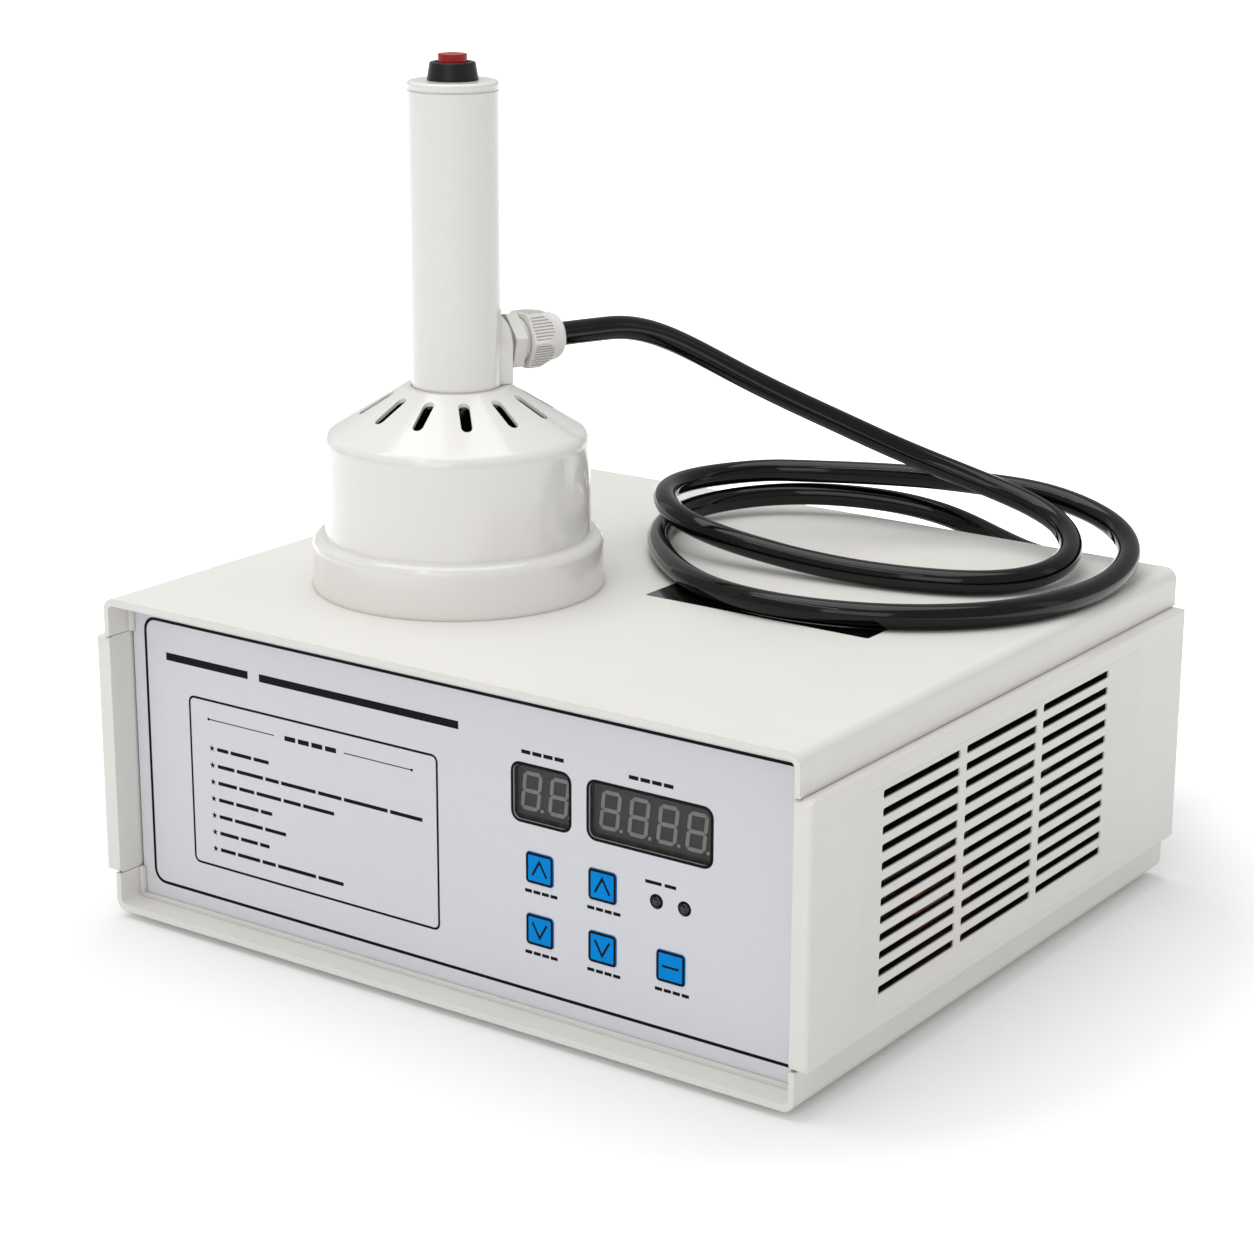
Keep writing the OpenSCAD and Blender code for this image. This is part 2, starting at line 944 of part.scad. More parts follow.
module power_up_key() {
    key(KEYS[2]);
}

module power_down_key() {
    key(KEYS[3]);
}

module start_key() {
    key(KEYS[4]);
}

// Switches on the board; each has a collar that guides its key's stem
module tact_switches() {
    color(dark_c)
        for (k = KEYS)
            translate([k[0], 0, mid_z + k[1]]) {
                facing(disp_y - tact_t, tact_t)
                    square([tact_w, tact_w], center = true);
                difference() {
                    rod_y(0, disp_y - tact_t - collar_h, 0, collar_r, collar_h);
                    rod_y(0, disp_y - tact_t - collar_h - over, 0, key_stem_r + collar_gap,
                        collar_h + over);
                }
            }
}

module indicator_leds() {
    dome_y = face_y - lamp_tip + lamp_r;
    color(dark_c)
        for (x = LAMPS)
            translate([x, 0, mid_z + lamp_up]) {
                rod_y(0, dome_y, 0, lamp_r, disp_y - dome_y);
                translate([0, dome_y, 0])
                    sphere(lamp_r);
            }
}

module display_board() {
    color(board_c)
        difference() {
            facing(disp_y, board_t)
                translate([disp_x, mid_z + disp_up])
                    square([disp_w, disp_h], center = true);
            at_studs()
                rod_y(0, disp_y - over, 0, small_screw_r + thread_gap, board_t + 2 * over);
        }
}

// Digit module on the board, behind its window
module digit_module(w) {
    color(dark_c)
        facing(disp_y - module_d, module_d)
            translate([w[0], mid_z + window_up])
                square([w[1] - module_w_gap, module_h], center = true);
}

module time_display() {
    digit_module(WINDOWS[0]);
}

module power_display() {
    digit_module(WINDOWS[1]);
}

// Rear panel

module at_fan() {
    translate([fan_x, 0, mid_z + fan_up])
        children();
}

module at_fan_screws() {
    at_fan()
        for (i = sides, j = sides)
            translate([i * fan_pitch, 0, j * fan_pitch])
                children();
}

module at_inlet_screws() {
    for (i = sides)
        translate([inlet_x + i * inlet_screw_x, 0, mid_z + inlet_up])
            children();
}

module rear_panel() {
    color(inner_c)
        difference() {
            facing(rear_in, rear_t)
                difference() {
                    translate([0, mid_z])
                        rrect(end_w, end_h, end_r);
                    translate([inlet_x, mid_z + inlet_up])
                        square([inlet_body_w + 2 * fit_gap, inlet_body_h + 2 * fit_gap], center = true);
                    translate([switch_x, mid_z + switch_up])
                        square([switch_body_w + 2 * fit_gap, switch_body_h + 2 * fit_gap], center = true);
                }
            at_fan()
                rod_y(0, rear_in - over, 0, fan_bore_r, rear_t + 2 * over);
            at_fan_screws()
                rod_y(0, rear_in - over, 0, fan_screw_r + thread_gap, rear_t + 2 * over);
            at_inlet_screws()
                rod_y(0, rear_in - over, 0, inlet_screw_r + thread_gap, rear_t + 2 * over);
            rod_y(fuse_x, rear_in - over, mid_z + fuse_up, fuse_barrel_r + fit_gap, rear_t + 2 * over);
            rod_y(rear_gland_x, rear_in - over, rear_gland_z, gland_thread_r + fit_gap,
                rear_t + 2 * over);
        }
}

// Frame with two flanges, a round duct, and a bearing bush on four struts
module fan_frame() {
    back_y = rear_in - fan_d;
    bush_l = fan_d / 2;
    color(black_c)
        at_fan()
            difference() {
                union() {
                    difference() {
                        union() {
                            for (y0 = [back_y, rear_in - fan_flange_t])
                                facing(y0, fan_flange_t)
                                    rrect(fan_w, fan_w, fan_corner_r);
                            rod_y(0, back_y, 0, fan_w / 2, fan_d);
                        }
                        rod_y(0, back_y - over, 0, fan_bore_r, fan_d + 2 * over);
                    }
                    rod_y(0, back_y, 0, fan_hub_r, fan_plate_t);
                    rod_y(0, back_y, 0, fan_bush_r, bush_l);
                    facing(back_y, fan_plate_t)
                        for (a = [45, 135])
                            rotate([0, 0, a])
                                square([2 * fan_bore_r + fan_wall, fan_strut_w], center = true);
                }
                rod_y(0, back_y - over, 0, fan_shaft_r + fan_shaft_gap, fan_d);
                for (i = sides, j = sides)
                    translate([i * fan_pitch, 0, j * fan_pitch])
                        rod_y(0, back_y - over, 0, fan_screw_r + thread_gap, fan_d + 2 * over);
            }
}

// Hub cup, shaft and tilted blades
module fan_rotor() {
    low_y = rear_in - fan_d + fan_plate_t + fan_end_gap;
    high_y = rear_in - fan_end_gap;
    cup_l = high_y - low_y;
    tip_r = fan_bore_r - fan_tip_gap;
    color(dark_c)
        at_fan()
            translate([0, low_y, 0])
                rotate([-90, 0, 0]) {
                    difference() {
                        cylinder(r = fan_hub_r, h = cup_l);
                        translate([0, 0, -over])
                            cylinder(r = fan_hub_r - fan_cup_t, h = cup_l - fan_cup_t + over);
                    }
                    translate([0, 0, -fan_end_gap - fan_plate_t / 2])
                        cylinder(r = fan_shaft_r, h = cup_l + fan_end_gap + fan_plate_t / 2 - fan_cup_t / 2);
                    intersection() {
                        difference() {
                            cylinder(r = tip_r, h = cup_l);
                            translate([0, 0, -over])
                                cylinder(r = fan_hub_r - fan_cup_t / 2, h = cup_l + 2 * over);
                        }
                        for (i = [0:fan_blades - 1])
                            rotate([0, 0, i * 360 / fan_blades])
                                translate([tip_r / 2, 0, cup_l / 2])
                                    rotate([fan_blade_tilt, 0, 0])
                                        cube([tip_r, fan_w * fan_blade_share, fan_blade_t], center = true);
                    }
                }
}

// Wire guard: rings on two crossed wires, with an eye at each screw
module fan_guard() {
    ring_y = rear_face + guard_wire_r;
    bar_y = ring_y + 2 * guard_wire_r - guard_weld;
    ring_step = fan_bore_r / (guard_rings + guard_rim_share);
    eye_at = fan_pitch * sqrt(2);
    color(steel_c)
        at_fan()
            difference() {
                union() {
                    for (i = [1:guard_rings])
                        translate([0, ring_y, 0])
                            rotate([-90, 0, 0])
                                rotate_extrude()
                                    translate([i * ring_step, 0])
                                        circle(guard_wire_r, $fn = 16);
                    for (a = [45, 135])
                        translate([0, bar_y, 0])
                            rotate([0, a, 0])
                                translate([0, 0, -eye_at])
                                    cylinder(r = guard_wire_r, h = 2 * eye_at);
                    for (i = sides, j = sides)
                        rod_y(i * fan_pitch, rear_face, j * fan_pitch, guard_eye_r,
                            bar_y + guard_wire_r - rear_face);
                }
                for (i = sides, j = sides)
                    rod_y(i * fan_pitch, rear_face - over, j * fan_pitch, fan_screw_r + thread_gap,
                        bar_y + guard_wire_r - rear_face + 2 * over);
            }
}

module panel_screws() {
    eye_top = rear_face + 4 * guard_wire_r - guard_weld;
    color(steel_c) {
        at_fan_screws() {
            rod_y(0, rear_in - fan_flange_t, 0, fan_screw_r, eye_top - rear_in + fan_flange_t);
            rod_y(0, eye_top, 0, fan_head_r, fan_head_h);
        }
        at_inlet_screws() {
            rod_y(0, rear_in - rear_t, 0, inlet_screw_r, 2 * rear_t + inlet_flange_t);
            rod_y(0, rear_face + inlet_flange_t, 0, inlet_head_r, inlet_head_h);
        }
    }
}

// Mouth of the mains inlet, with its two upper corners cut off
module inlet_mouth() {
    w = inlet_body_w / 2 - inlet_wall;
    h = inlet_body_h / 2 - inlet_wall;
    polygon([[-w, -h], [w, -h], [w, h - inlet_chamfer], [w - inlet_chamfer, h],
        [inlet_chamfer - w, h], [-w, h - inlet_chamfer]]);
}

PINS = [[-pin_apart, 0], [0, pin_rise], [pin_apart, 0]];

module inlet_pin_outlines() {
    for (p = PINS)
        translate([p[0], p[1] - pin_rise / 2])
            square([pin_w, pin_h], center = true);
}

module at_inlet() {
    translate([inlet_x, 0, mid_z + inlet_up])
        children();
}

module power_inlet() {
    face = rear_face + inlet_flange_t;
    color(black_c)
        at_inlet()
            difference() {
                union() {
                    facing(rear_face, inlet_flange_t)
                        rrect(inlet_flange_w, inlet_flange_h, inlet_r);
                    facing(face - inlet_body_d, inlet_body_d)
                        square([inlet_body_w, inlet_body_h], center = true);
                }
                facing(face - inlet_cavity_d, inlet_cavity_d + over)
                    inlet_mouth();
                facing(face - inlet_body_d - over, inlet_body_d)
                    inlet_pin_outlines();
                for (i = sides)
                    rod_y(i * inlet_screw_x, rear_face - over, 0, inlet_screw_r + thread_gap,
                        inlet_flange_t + 2 * over);
            }
}

module inlet_pins() {
    face = rear_face + inlet_flange_t;
    color(brass_c)
        at_inlet()
            facing(face - inlet_body_d - pin_tail, inlet_body_d + pin_tail - pin_back)
                inlet_pin_outlines();
}

// Mains switch: a housing with a round-backed pocket, and a rocker on two pins
pivot_y = rear_face + switch_bezel_t - rocker_dip;

module at_switch() {
    translate([switch_x, pivot_y, mid_z + switch_up])
        children();
}

module cross_rod(r, l) {
    translate([-l / 2, 0, 0])
        rotate([0, 90, 0])
            cylinder(r = r, h = l);
}

module switch_housing() {
    bezel_y = rear_face - pivot_y;
    pocket_w = rocker_w + 2 * run_gap;
    pocket_r = rocker_r + run_gap;
    color(black_c)
        at_switch()
            difference() {
                union() {
                    facing(bezel_y, switch_bezel_t)
                        rrect(switch_bezel_w, switch_bezel_h, inlet_r);
                    facing(bezel_y + switch_bezel_t - switch_body_d, switch_body_d)
                        square([switch_body_w, switch_body_h], center = true);
                }
                cross_rod(pocket_r, pocket_w);
                facing(0, rocker_dip + over)
                    square([pocket_w, 2 * pocket_r], center = true);
                cross_rod(rocker_pin_r + rocker_pin_gap, rocker_w + 2 * rocker_pin_l + 2 * run_gap);
            }
}

module switch_rocker() {
    color(dark_c)
        at_switch()
            rotate([rocker_tilt, 0, 0]) {
                intersection() {
                    cross_rod(rocker_r, rocker_w);
                    sideways(-rocker_w / 2, rocker_w)
                        polygon([[-rocker_back, -rocker_r], [rocker_tip, -rocker_r], [rocker_mid, 0],
                            [rocker_tip, rocker_r], [-rocker_back, rocker_r]]);
                }
                cross_rod(rocker_pin_r, rocker_w + 2 * rocker_pin_l);
            }
}

// Fuse holder, its bayonet cap, and the fuse
module at_fuse() {
    translate([fuse_x, rear_face + fuse_flange_t, mid_z + fuse_up])
        rotate([90, 0, 0])
            children();
}

fuse_seat = fuse_stem_l + 2 * fuse_end_gap;

module fuse_holder() {
    color(black_c)
        at_fuse()
            difference() {
                union() {
                    cylinder(r = fuse_flange_r, h = fuse_flange_t);
                    cylinder(r = fuse_barrel_r, h = fuse_barrel_l + fuse_flange_t);
                }
                translate([0, 0, -over])
                    cylinder(r = fuse_stem_r + run_gap, h = fuse_seat + over);
                cylinder(r = fuse_r + thread_gap, h = fuse_seat + fuse_l);
            }
}

module fuse_cap() {
    color(dark_c)
        at_fuse()
            difference() {
                union() {
                    translate([0, 0, -fuse_cap_h - run_gap])
                        cylinder(r1 = fuse_cap_r - fuse_end_gap, r2 = fuse_cap_r, h = fuse_cap_h);
                    translate([0, 0, -run_gap - fuse_cap_h / 2])
                        cylinder(r = fuse_stem_r, h = fuse_stem_l + run_gap + fuse_cap_h / 2);
                }
                translate([0, 0, -fuse_cap_h - run_gap])
                    cube([2 * fuse_cap_r + over, fuse_slot_w, 2 * fuse_slot_d], center = true);
            }
}

module fuse() {
    color(steel_c)
        at_fuse()
            translate([0, 0, fuse_seat]) {
                cylinder(r = fuse_r, h = fuse_end_l);
                cylinder(r = fuse_glass_r, h = fuse_l);
                translate([0, 0, fuse_l - fuse_end_l])
                    cylinder(r = fuse_r, h = fuse_end_l);
            }
}

// Electronics in the box

// Goes to a place on the main board, given as shares of its width and depth from its centre
module on_board(x_share, y_share) {
    translate([board_x + x_share * board_w, board_y + y_share * board_d, board_top])
        children();
}

module main_board() {
    color(board_c)
        difference() {
            translate([board_x, board_y, board_z + board_t / 2])
                cube([board_w, board_d, board_t], center = true);
            at_standoffs()
                translate([0, 0, board_z - over])
                    cylinder(r = board_screw_r + thread_gap, h = board_t + 2 * over);
        }
}

module board_screws() {
    color(steel_c) {
        at_standoffs()
            translate([0, 0, board_top]) {
                translate([0, 0, -board_screw_l])
                    cylinder(r = board_screw_r, h = board_screw_l);
                cylinder(r = board_head_r, h = board_head_h);
            }
        at_studs() {
            rod_y(0, disp_y + board_t - small_screw_l, 0, small_screw_r, small_screw_l);
            rod_y(0, disp_y + board_t, 0, small_head_r, small_head_h);
        }
    }
}

// Extruded heat sink: a base with a shelf for the devices, and fins behind it
module heat_sink() {
    color(steel_c)
        on_board(sink_x_share, sink_y_share) {
            translate([-sink_w / 2, -sink_d / 2, 0])
                cube([sink_w, sink_d, sink_base]);
            translate([-sink_w / 2, sink_shelf - sink_d / 2, sink_base / 2])
                for (i = [0:sink_fins - 1])
                    translate([i * (sink_w - fin_t) / (sink_fins - 1), 0, 0])
                        cube([fin_t, sink_d - sink_shelf, sink_h - sink_base / 2]);
        }
}

module power_transistors() {
    device_pitch = sink_w / device_count;
    color(dark_c)
        on_board(sink_x_share, sink_y_share)
            for (i = [0:device_count - 1])
                translate([(i - (device_count - 1) / 2) * device_pitch, -sink_d / 2, sink_base]) {
                    translate([-device_w / 2, 0, 0])
                        cube([device_w, device_l, device_t]);
                    for (j = [-1:1])
                        translate([j * leg_pitch, 0, 0])
                            sideways(-leg_w / 2, leg_w)
                                polygon([[leg_t, device_t / 2 - leg_t / 2], [leg_t, device_t / 2 + leg_t / 2],
                                    [-leg_reach - leg_t, device_t / 2 + leg_t / 2],
                                    [-leg_reach - leg_t, -sink_base], [-leg_reach, -sink_base],
                                    [-leg_reach, device_t / 2 - leg_t / 2]]);
                }
}

module bridge_rectifier() {
    color(dark_c)
        on_board(rectifier_x_share, rectifier_y_share)
            linear_extrude(rectifier_h)
                difference() {
                    rrect(rectifier_w, rectifier_w, inlet_r);
                    circle(rectifier_hole_r);
                }
}

module filter_capacitors() {
    color(dark_c)
        for (s = cap_x_shares)
            on_board(s, cap_y_share)
                rotate_extrude()
                    polygon(rounded([[0, 0, 0], [cap_r, 0, 0], [cap_r, cap_h - 4 * cap_edge_r, cap_edge_r / 2],
                        [cap_r - cap_pinch, cap_h - 3 * cap_edge_r, cap_edge_r / 2],
                        [cap_r, cap_h - 2 * cap_edge_r, cap_edge_r / 2], [cap_r, cap_h, cap_edge_r],
                        [0, cap_h, 0]]));
}

module resonant_capacitor() {
    color(cream_c)
        on_board(reson_x_share, reson_y_share) {
            linear_extrude(reson_h)
                rrect(reson_w, reson_d, reson_r);
            for (i = sides)
                translate([i * reson_apart, 0, reson_h])
                    cylinder(r = reson_post_r, h = reson_post_h);
        }
}

// Ring core under its winding, shown by its ridges
module choke_coil() {
    color(copper_c)
        on_board(choke_x_share, choke_y_share)
            translate([0, 0, choke_wire_r + choke_ridge_r + coil_gap]) {
                rotate_extrude()
                    translate([choke_r, 0])
                        circle(choke_wire_r);
                for (i = [0:choke_turns - 1])
                    rotate([90, 0, i * 360 / choke_turns])
                        translate([choke_r, 0, 0])
                            rotate_extrude($fn = 24)
                                translate([choke_wire_r, 0])
                                    circle(choke_ridge_r, $fn = 16);
            }
}

module at_core() {
    translate([core_x, core_y, floor_z])
        rotate([0, 0, 90])
            children();
}

// Laminated core with two windows
module transformer_core() {
    leg = core_w * core_leg_share;
    yoke = leg / 2;
    slot = (core_w - leg - 2 * yoke) / 2;
    color(ferrite_c)
        at_core()
            translate([0, core_d / 2, 0])
                rotate([90, 0, 0])
                    linear_extrude(core_d)
                        difference() {
                            translate([-core_w / 2, 0])
                                square([core_w, core_h]);
                            for (i = sides)
                                translate([i * (leg + slot) / 2 - slot / 2, yoke])
                                    square([slot, core_h - 2 * yoke]);
                        }
}

module transformer_winding() {
    leg = core_w * core_leg_share;
    yoke = leg / 2;
    slot = (core_w - leg - 2 * yoke) / 2;
    out_w = leg + 2 * slot - 2 * winding_gap;
    out_d = core_d + 2 * winding_out;
    color(copper_c)
        at_core()
            translate([0, 0, yoke + winding_gap])
                linear_extrude(core_h - 2 * yoke - 2 * winding_gap)
                    difference() {
                        rrect(out_w, out_d, winding_out / 2);
                        square([leg + 2 * winding_gap, core_d + 2 * winding_gap], center = true);
                    }
}

// Sealing head

// Height of the cone's outer face at a radius, and of its inner face
cone_fall = (neck_z - shoulder_z) / (drum_top_r - neck_r);
cone_t = head_t * sqrt(1 + cone_fall * cone_fall);
function cone_z(r) = neck_z - (r - neck_r) * cone_fall;
function cone_in_z(r) = cone_z(r) - cone_t;

module head_shell() {
    collar_in = tube_r + tube_gap;
    collar_out = collar_in + head_t;
    in_r = drum_top_r - head_t;
    color(case_c)
        at_head()
            difference() {
                union() {
                    rotate_extrude()
                        polygon(rounded([
                            [rim_r, 0, 0], [rim_r, rim_h, rim_round], [drum_r, rim_h, rim_fillet],
                            [drum_top_r, shoulder_z, shoulder_r], [neck_r, neck_z, neck_round],
                            [collar_in, neck_z, 0], [collar_in, ledge_z, 0], [collar_ledge_r, ledge_z, 0],
                            [collar_ledge_r, ledge_z - head_t, 0], [collar_out, ledge_z - head_t, 0],
                            [collar_out, cone_in_z(collar_out), 0],
                            [in_r, cone_in_z(in_r), shoulder_r - head_t],
                            [drum_r - head_t, rim_h - head_t, 0],
                            [rim_r - head_t, rim_h - head_t, 0],
                            [rim_r - head_t, 0, 0]]));
                    for (i = [0:3])
                        rotate([0, 0, 45 + 90 * i])
                            translate([base_screw_at, 0, base_top])
                                cylinder(r = base_boss_r, h = rim_h - base_top - head_t / 2);
                }
                for (i = [0:3])
                    rotate([0, 0, 45 + 90 * i])
                        translate([base_screw_at, 0, base_top - over])
                            cylinder(r = base_screw_r + thread_gap, h = base_screw_l - base_t + over);
                for (i = [0:vent_count - 1])
                    rotate([0, 0, vent_turn + i * 360 / vent_count])
                        translate([0, 0, ledge_z])
                            linear_extrude(neck_z - ledge_z)
                                vent_slot();
            }
}

// Round-ended slot that runs outwards
module vent_slot() {
    translate([vent_in_r + vent_w / 2, -vent_w / 2])
        square([vent_out_r - vent_in_r - vent_w, vent_w]);
    for (r = [vent_in_r + vent_w / 2, vent_out_r - vent_w / 2])
        translate([r, 0])
            circle(vent_w / 2);
}

// Tube with a flat pad for the gland near its foot
module handle_tube() {
    pad_z = neck_z + tube_gap;
    color(case_c)
        at_head()
            difference() {
                union() {
                    translate([0, 0, ledge_z])
                        cylinder(r1 = tube_r, r2 = tube_r - tube_lean, h = tube_top - ledge_z);
                    rotate([0, 0, gland_turn])
                        sideways(0, pad_r) {
                            translate([0, gland_z])
                                circle(pad_w / 2);
                            translate([-pad_w / 2, pad_z])
                                square([pad_w, gland_z - pad_z]);
                        }
                }
                translate([0, 0, ledge_z - over])
                    cylinder(r = tube_r - tube_t, h = tube_top - ledge_z + 2 * over);
                rotate([0, 0, gland_turn])
                    translate([0, 0, gland_z])
                        rotate([0, 90, 0])
                            cylinder(r = gland_thread_r + thread_gap, h = pad_r + over);
            }
}

module handle_cap() {
    spigot_r = tube_r - tube_t - tube_gap;
    hole_r = switch_barrel_r + fit_gap;
    color(case_c)
        at_head()
            rotate_extrude()
                polygon(rounded([
                    [hole_r, tube_top - spigot_h, 0], [spigot_r, tube_top - spigot_h, tiny_r],
                    [spigot_r, tube_top, 0], [cap_neck_r, tube_top, 0], [cap_neck_r, cap_z, 0],
                    [cap_disc_r, cap_z, tiny_r / 2], [cap_disc_r, cap_top, cap_round], [hole_r, cap_top, 0]]));
}

module button_bezel() {
    color(black_c)
        at_head()
            rotate_extrude()
                polygon(rounded([
                    [button_r + run_gap, cap_top, 0], [bezel_r, cap_top, tiny_r],
                    [bezel_top_r, cap_top + bezel_h, bezel_round],
                    [bezel_mouth_r, cap_top + bezel_h, tiny_r],
                    [button_r + run_gap, cap_top + bezel_h - bezel_mouth_d, 0]]));
}

module trigger_button() {
    color(red_c)
        at_head() {
            rotate_extrude()
                polygon(rounded([
                    [0, button_base, 0], [button_r, button_base, 0], [button_r, button_top, button_edge_r],
                    [button_r * button_flat_share, button_top, button_edge_r], [0, button_top - button_dish, 0]]));
            translate([0, 0, button_base - stem_l])
                cylinder(r = stem_r, h = stem_l + button_sink);
        }
}

// Push switch in the handle: barrel, pocket for the button and spring, guide bore, two tags
module trigger_switch() {
    color(dark_c)
        at_head() {
            difference() {
                translate([0, 0, cap_top - switch_barrel_l])
                    cylinder(r = switch_barrel_r, h = switch_barrel_l);
                translate([0, 0, pocket_floor])
                    cylinder(r = button_r + run_gap, h = button_pocket + over);
                translate([0, 0, pocket_floor - stem_bore_depth])
                    cylinder(r = stem_r + stem_gap, h = stem_bore_depth + over);
            }
            for (i = sides)
                translate([i * switch_barrel_r / 2, 0, cap_top - switch_barrel_l - terminal_l / 2])
                    cube([terminal_t, terminal_w, terminal_l + over], center = true);
        }
}

// Compression spring: rings of a round wire along a helix
module button_spring() {
    coil_l = button_base - pocket_floor;
    rings = spring_turns * spring_steps;
    climb = (coil_l - 2 * spring_wire_r) / rings;
    pts = [for (i = [0:rings], j = [0:spring_sides - 1])
        let (
            a = i * 360 / spring_steps,
            b = -j * 360 / spring_sides,
            r = spring_r + spring_wire_r * cos(b)
        )
        [r * cos(a), r * sin(a), spring_wire_r * (1 + sin(b)) + i * climb]];
    color(steel_c)
        at_head()
            translate([0, 0, pocket_floor])
                polyhedron(pts, tube_faces(rings, spring_sides), convexity = 10);
}

module base_plate() {
    color(cream_c)
        at_head()
            translate([0, 0, base_lift])
                difference() {
                    cylinder(r = rim_r - head_t - base_gap, h = base_t);
                    for (i = [0:3])
                        rotate([0, 0, 45 + 90 * i])
                            translate([base_screw_at, 0, 0]) {
                                translate([0, 0, -over])
                                    cylinder(r = base_screw_r + thread_gap, h = base_t + 2 * over);
                                cylinder(r1 = base_head_r + thread_gap, r2 = base_screw_r + thread_gap,
                                    h = base_head_h);
                            }
                }
}

module base_screws() {
    color(steel_c)
        at_head()
            for (i = [0:3])
                rotate([0, 0, 45 + 90 * i])
                    translate([base_screw_at, 0, base_lift]) {
                        cylinder(r = base_screw_r, h = base_screw_l);
                        cylinder(r1 = base_head_r, r2 = base_screw_r, h = base_head_h);
                    }
}

// Flat coil, drawn as closed turns
module induction_coil() {
    color(copper_c)
        at_head()
            translate([0, 0, base_top + coil_gap + wire_d / 2])
                rotate_extrude()
                    for (i = [0:coil_turns - 1])
                        translate([coil_in_r + i * coil_pitch, 0])
                            circle(wire_d / 2, $fn = 32);
}

module coil_former() {
    color(cream_c)
        at_head()
            translate([0, 0, former_z])
                difference() {
                    cylinder(r = coil_out_r + former_margin, h = former_t);
                    translate([0, 0, -over])
                        cylinder(r = former_hole_r, h = former_t + 2 * over);
                }
}

module ferrite_bars() {
    color(ferrite_c)
        at_head()
            for (i = [0:ferrite_count - 1])
                rotate([0, 0, i * 360 / ferrite_count])
                    translate([ferrite_in_r, -ferrite_w / 2, former_z + former_t])
                        cube([ferrite_l, ferrite_w, ferrite_h]);
}

// Cable glands, along +Z from the face that they seat on

module hexagon(af) {
    circle(r = af / 2 / cos(30), $fn = 6);
}

module gland_body_form(stub_l) {
    neck_r = gland_thread_r - thread_gap;
    difference() {
        union() {
            translate([0, 0, -stub_l])
                cylinder(r = gland_thread_r, h = stub_l);
            cylinder(r = gland_thread_r + gland_foot_lip, h = gland_foot_l);
            translate([0, 0, gland_foot_l])
                rotate([0, 0, gland_hex_turn])
                    linear_extrude(gland_hex_l)
                        hexagon(gland_af);
            cylinder(r = neck_r, h = gland_nut_z + gland_neck_l);
        }
        translate([0, 0, -stub_l - over])
            cylinder(r = gland_stub_bore_r, h = stub_l + gland_l);
    }
}

// Domed nut with fine ribs on its flats
module gland_nut_form() {
    corner_r = gland_af / 2 / cos(30);
    difference() {
        intersection() {
            translate([0, 0, gland_nut_z])
                rotate([0, 0, nut_turn])
                    linear_extrude(nut_l)
                        hexagon(gland_af);
            rotate_extrude()
                polygon(rounded([
                    [0, gland_nut_z, 0], [corner_r - nut_mouth, gland_nut_z, 0],
                    [corner_r, gland_nut_z + nut_mouth, 0], [corner_r, gland_nut_z + nut_grip_l, 0],
                    [gland_af / 2 - nut_mouth, gland_l - nut_dome, 2 * nut_mouth],
                    [gland_af / 2 - 3 * nut_mouth, gland_l, nut_round], [0, gland_l, 0]]));
        }
        translate([0, 0, gland_nut_z - over])
            cylinder(r = gland_thread_r, h = gland_neck_l + over + fit_gap);
        cylinder(r = gland_bore_r, h = gland_l + over);
        for (i = [0:5], j = [0:nut_ribs - 1])
            rotate([0, 0, nut_turn + 30 + 60 * i])
                translate([
                    gland_af / 2 - nut_rib_d,
                    (j - (nut_ribs - 1) / 2) * nut_rib_pitch - nut_rib_w / 2,
                    gland_nut_z + 2 * nut_mouth])
                    cube([over, nut_rib_w, nut_rib_l]);
    }
}

module gland_body() {
    color(case_c)
        at_gland()
            gland_body_form(gland_stub_l);
}

module gland_nut() {
    color(case_c)
        at_gland()
            gland_nut_form();
}

module rear_gland_body() {
    color(case_c)
        at_rear_gland()
            gland_body_form(rear_t + locknut_t + locknut_over);
}

module rear_gland_nut() {
    color(case_c)
        at_rear_gland()
            gland_nut_form();
}

module rear_gland_locknut() {
    color(case_c)
        at_rear_gland()
            translate([0, 0, -rear_t - locknut_t])
                linear_extrude(locknut_t)
                    difference() {
                        hexagon(gland_af + 2 * locknut_over);
                        circle(gland_thread_r + thread_gap);
                    }
}

// Cable

// Faces of a closed tube of n + 1 rings with m points each
function tube_faces(n, m) = concat(
    [[for (j = [0:m - 1]) j]],
    [for (i = [0:n - 1], j = [0:m - 1])
        let (k = (j + 1) % m)
        [i * m + j, (i + 1) * m + j, (i + 1) * m + k, i * m + k]],
    [[for (j = [0:m - 1]) n * m + m - 1 - j]]);

// Smooth line through the route: each inner point is drawn towards its neighbours
cable_n = len(ROUTE) - 1;
function smooth(i) = i == 0 || i == cable_n ? ROUTE[i] : (ROUTE[i - 1] + 4 * ROUTE[i] + ROUTE[i + 1]) / 6;
cable_start = ROUTE[0] - unit(ROUTE[1] - ROUTE[0]) * cable_seat;
cable_end = ROUTE[cable_n] + unit(ROUTE[cable_n] - ROUTE[cable_n - 1]) * cable_seat;
LINE = concat([cable_start], [for (i = [1:cable_n - 1]) smooth(i)], [cable_end]);

// Frame carried along the line, so that the tube doesn't twist
function heading(i) = unit(LINE[min(i + 1, len(LINE) - 1)] - LINE[max(i - 1, 0)]);
function carried(v, t) = unit(v - t * (v * t));
function side_list(i, v) =
    i == len(LINE) ? [] :
    let (s = carried(v, heading(i)))
    concat([s], side_list(i + 1, s));
SIDES = side_list(0, [0, 0, 1]);

module head_cable() {
    n = len(LINE) - 1;
    pts = [for (i = [0:n], j = [0:cable_sides - 1])
        let (
            a = j * 360 / cable_sides,
            s = SIDES[i],
            u = cross(heading(i), s)
        )
        LINE[i] + (s * cos(a) + u * sin(a)) * cable_d / 2];
    color(black_c)
        translate([0, 0, top_z + cable_lift])
            polyhedron(pts, tube_faces(n, cable_sides), convexity = 20);
}

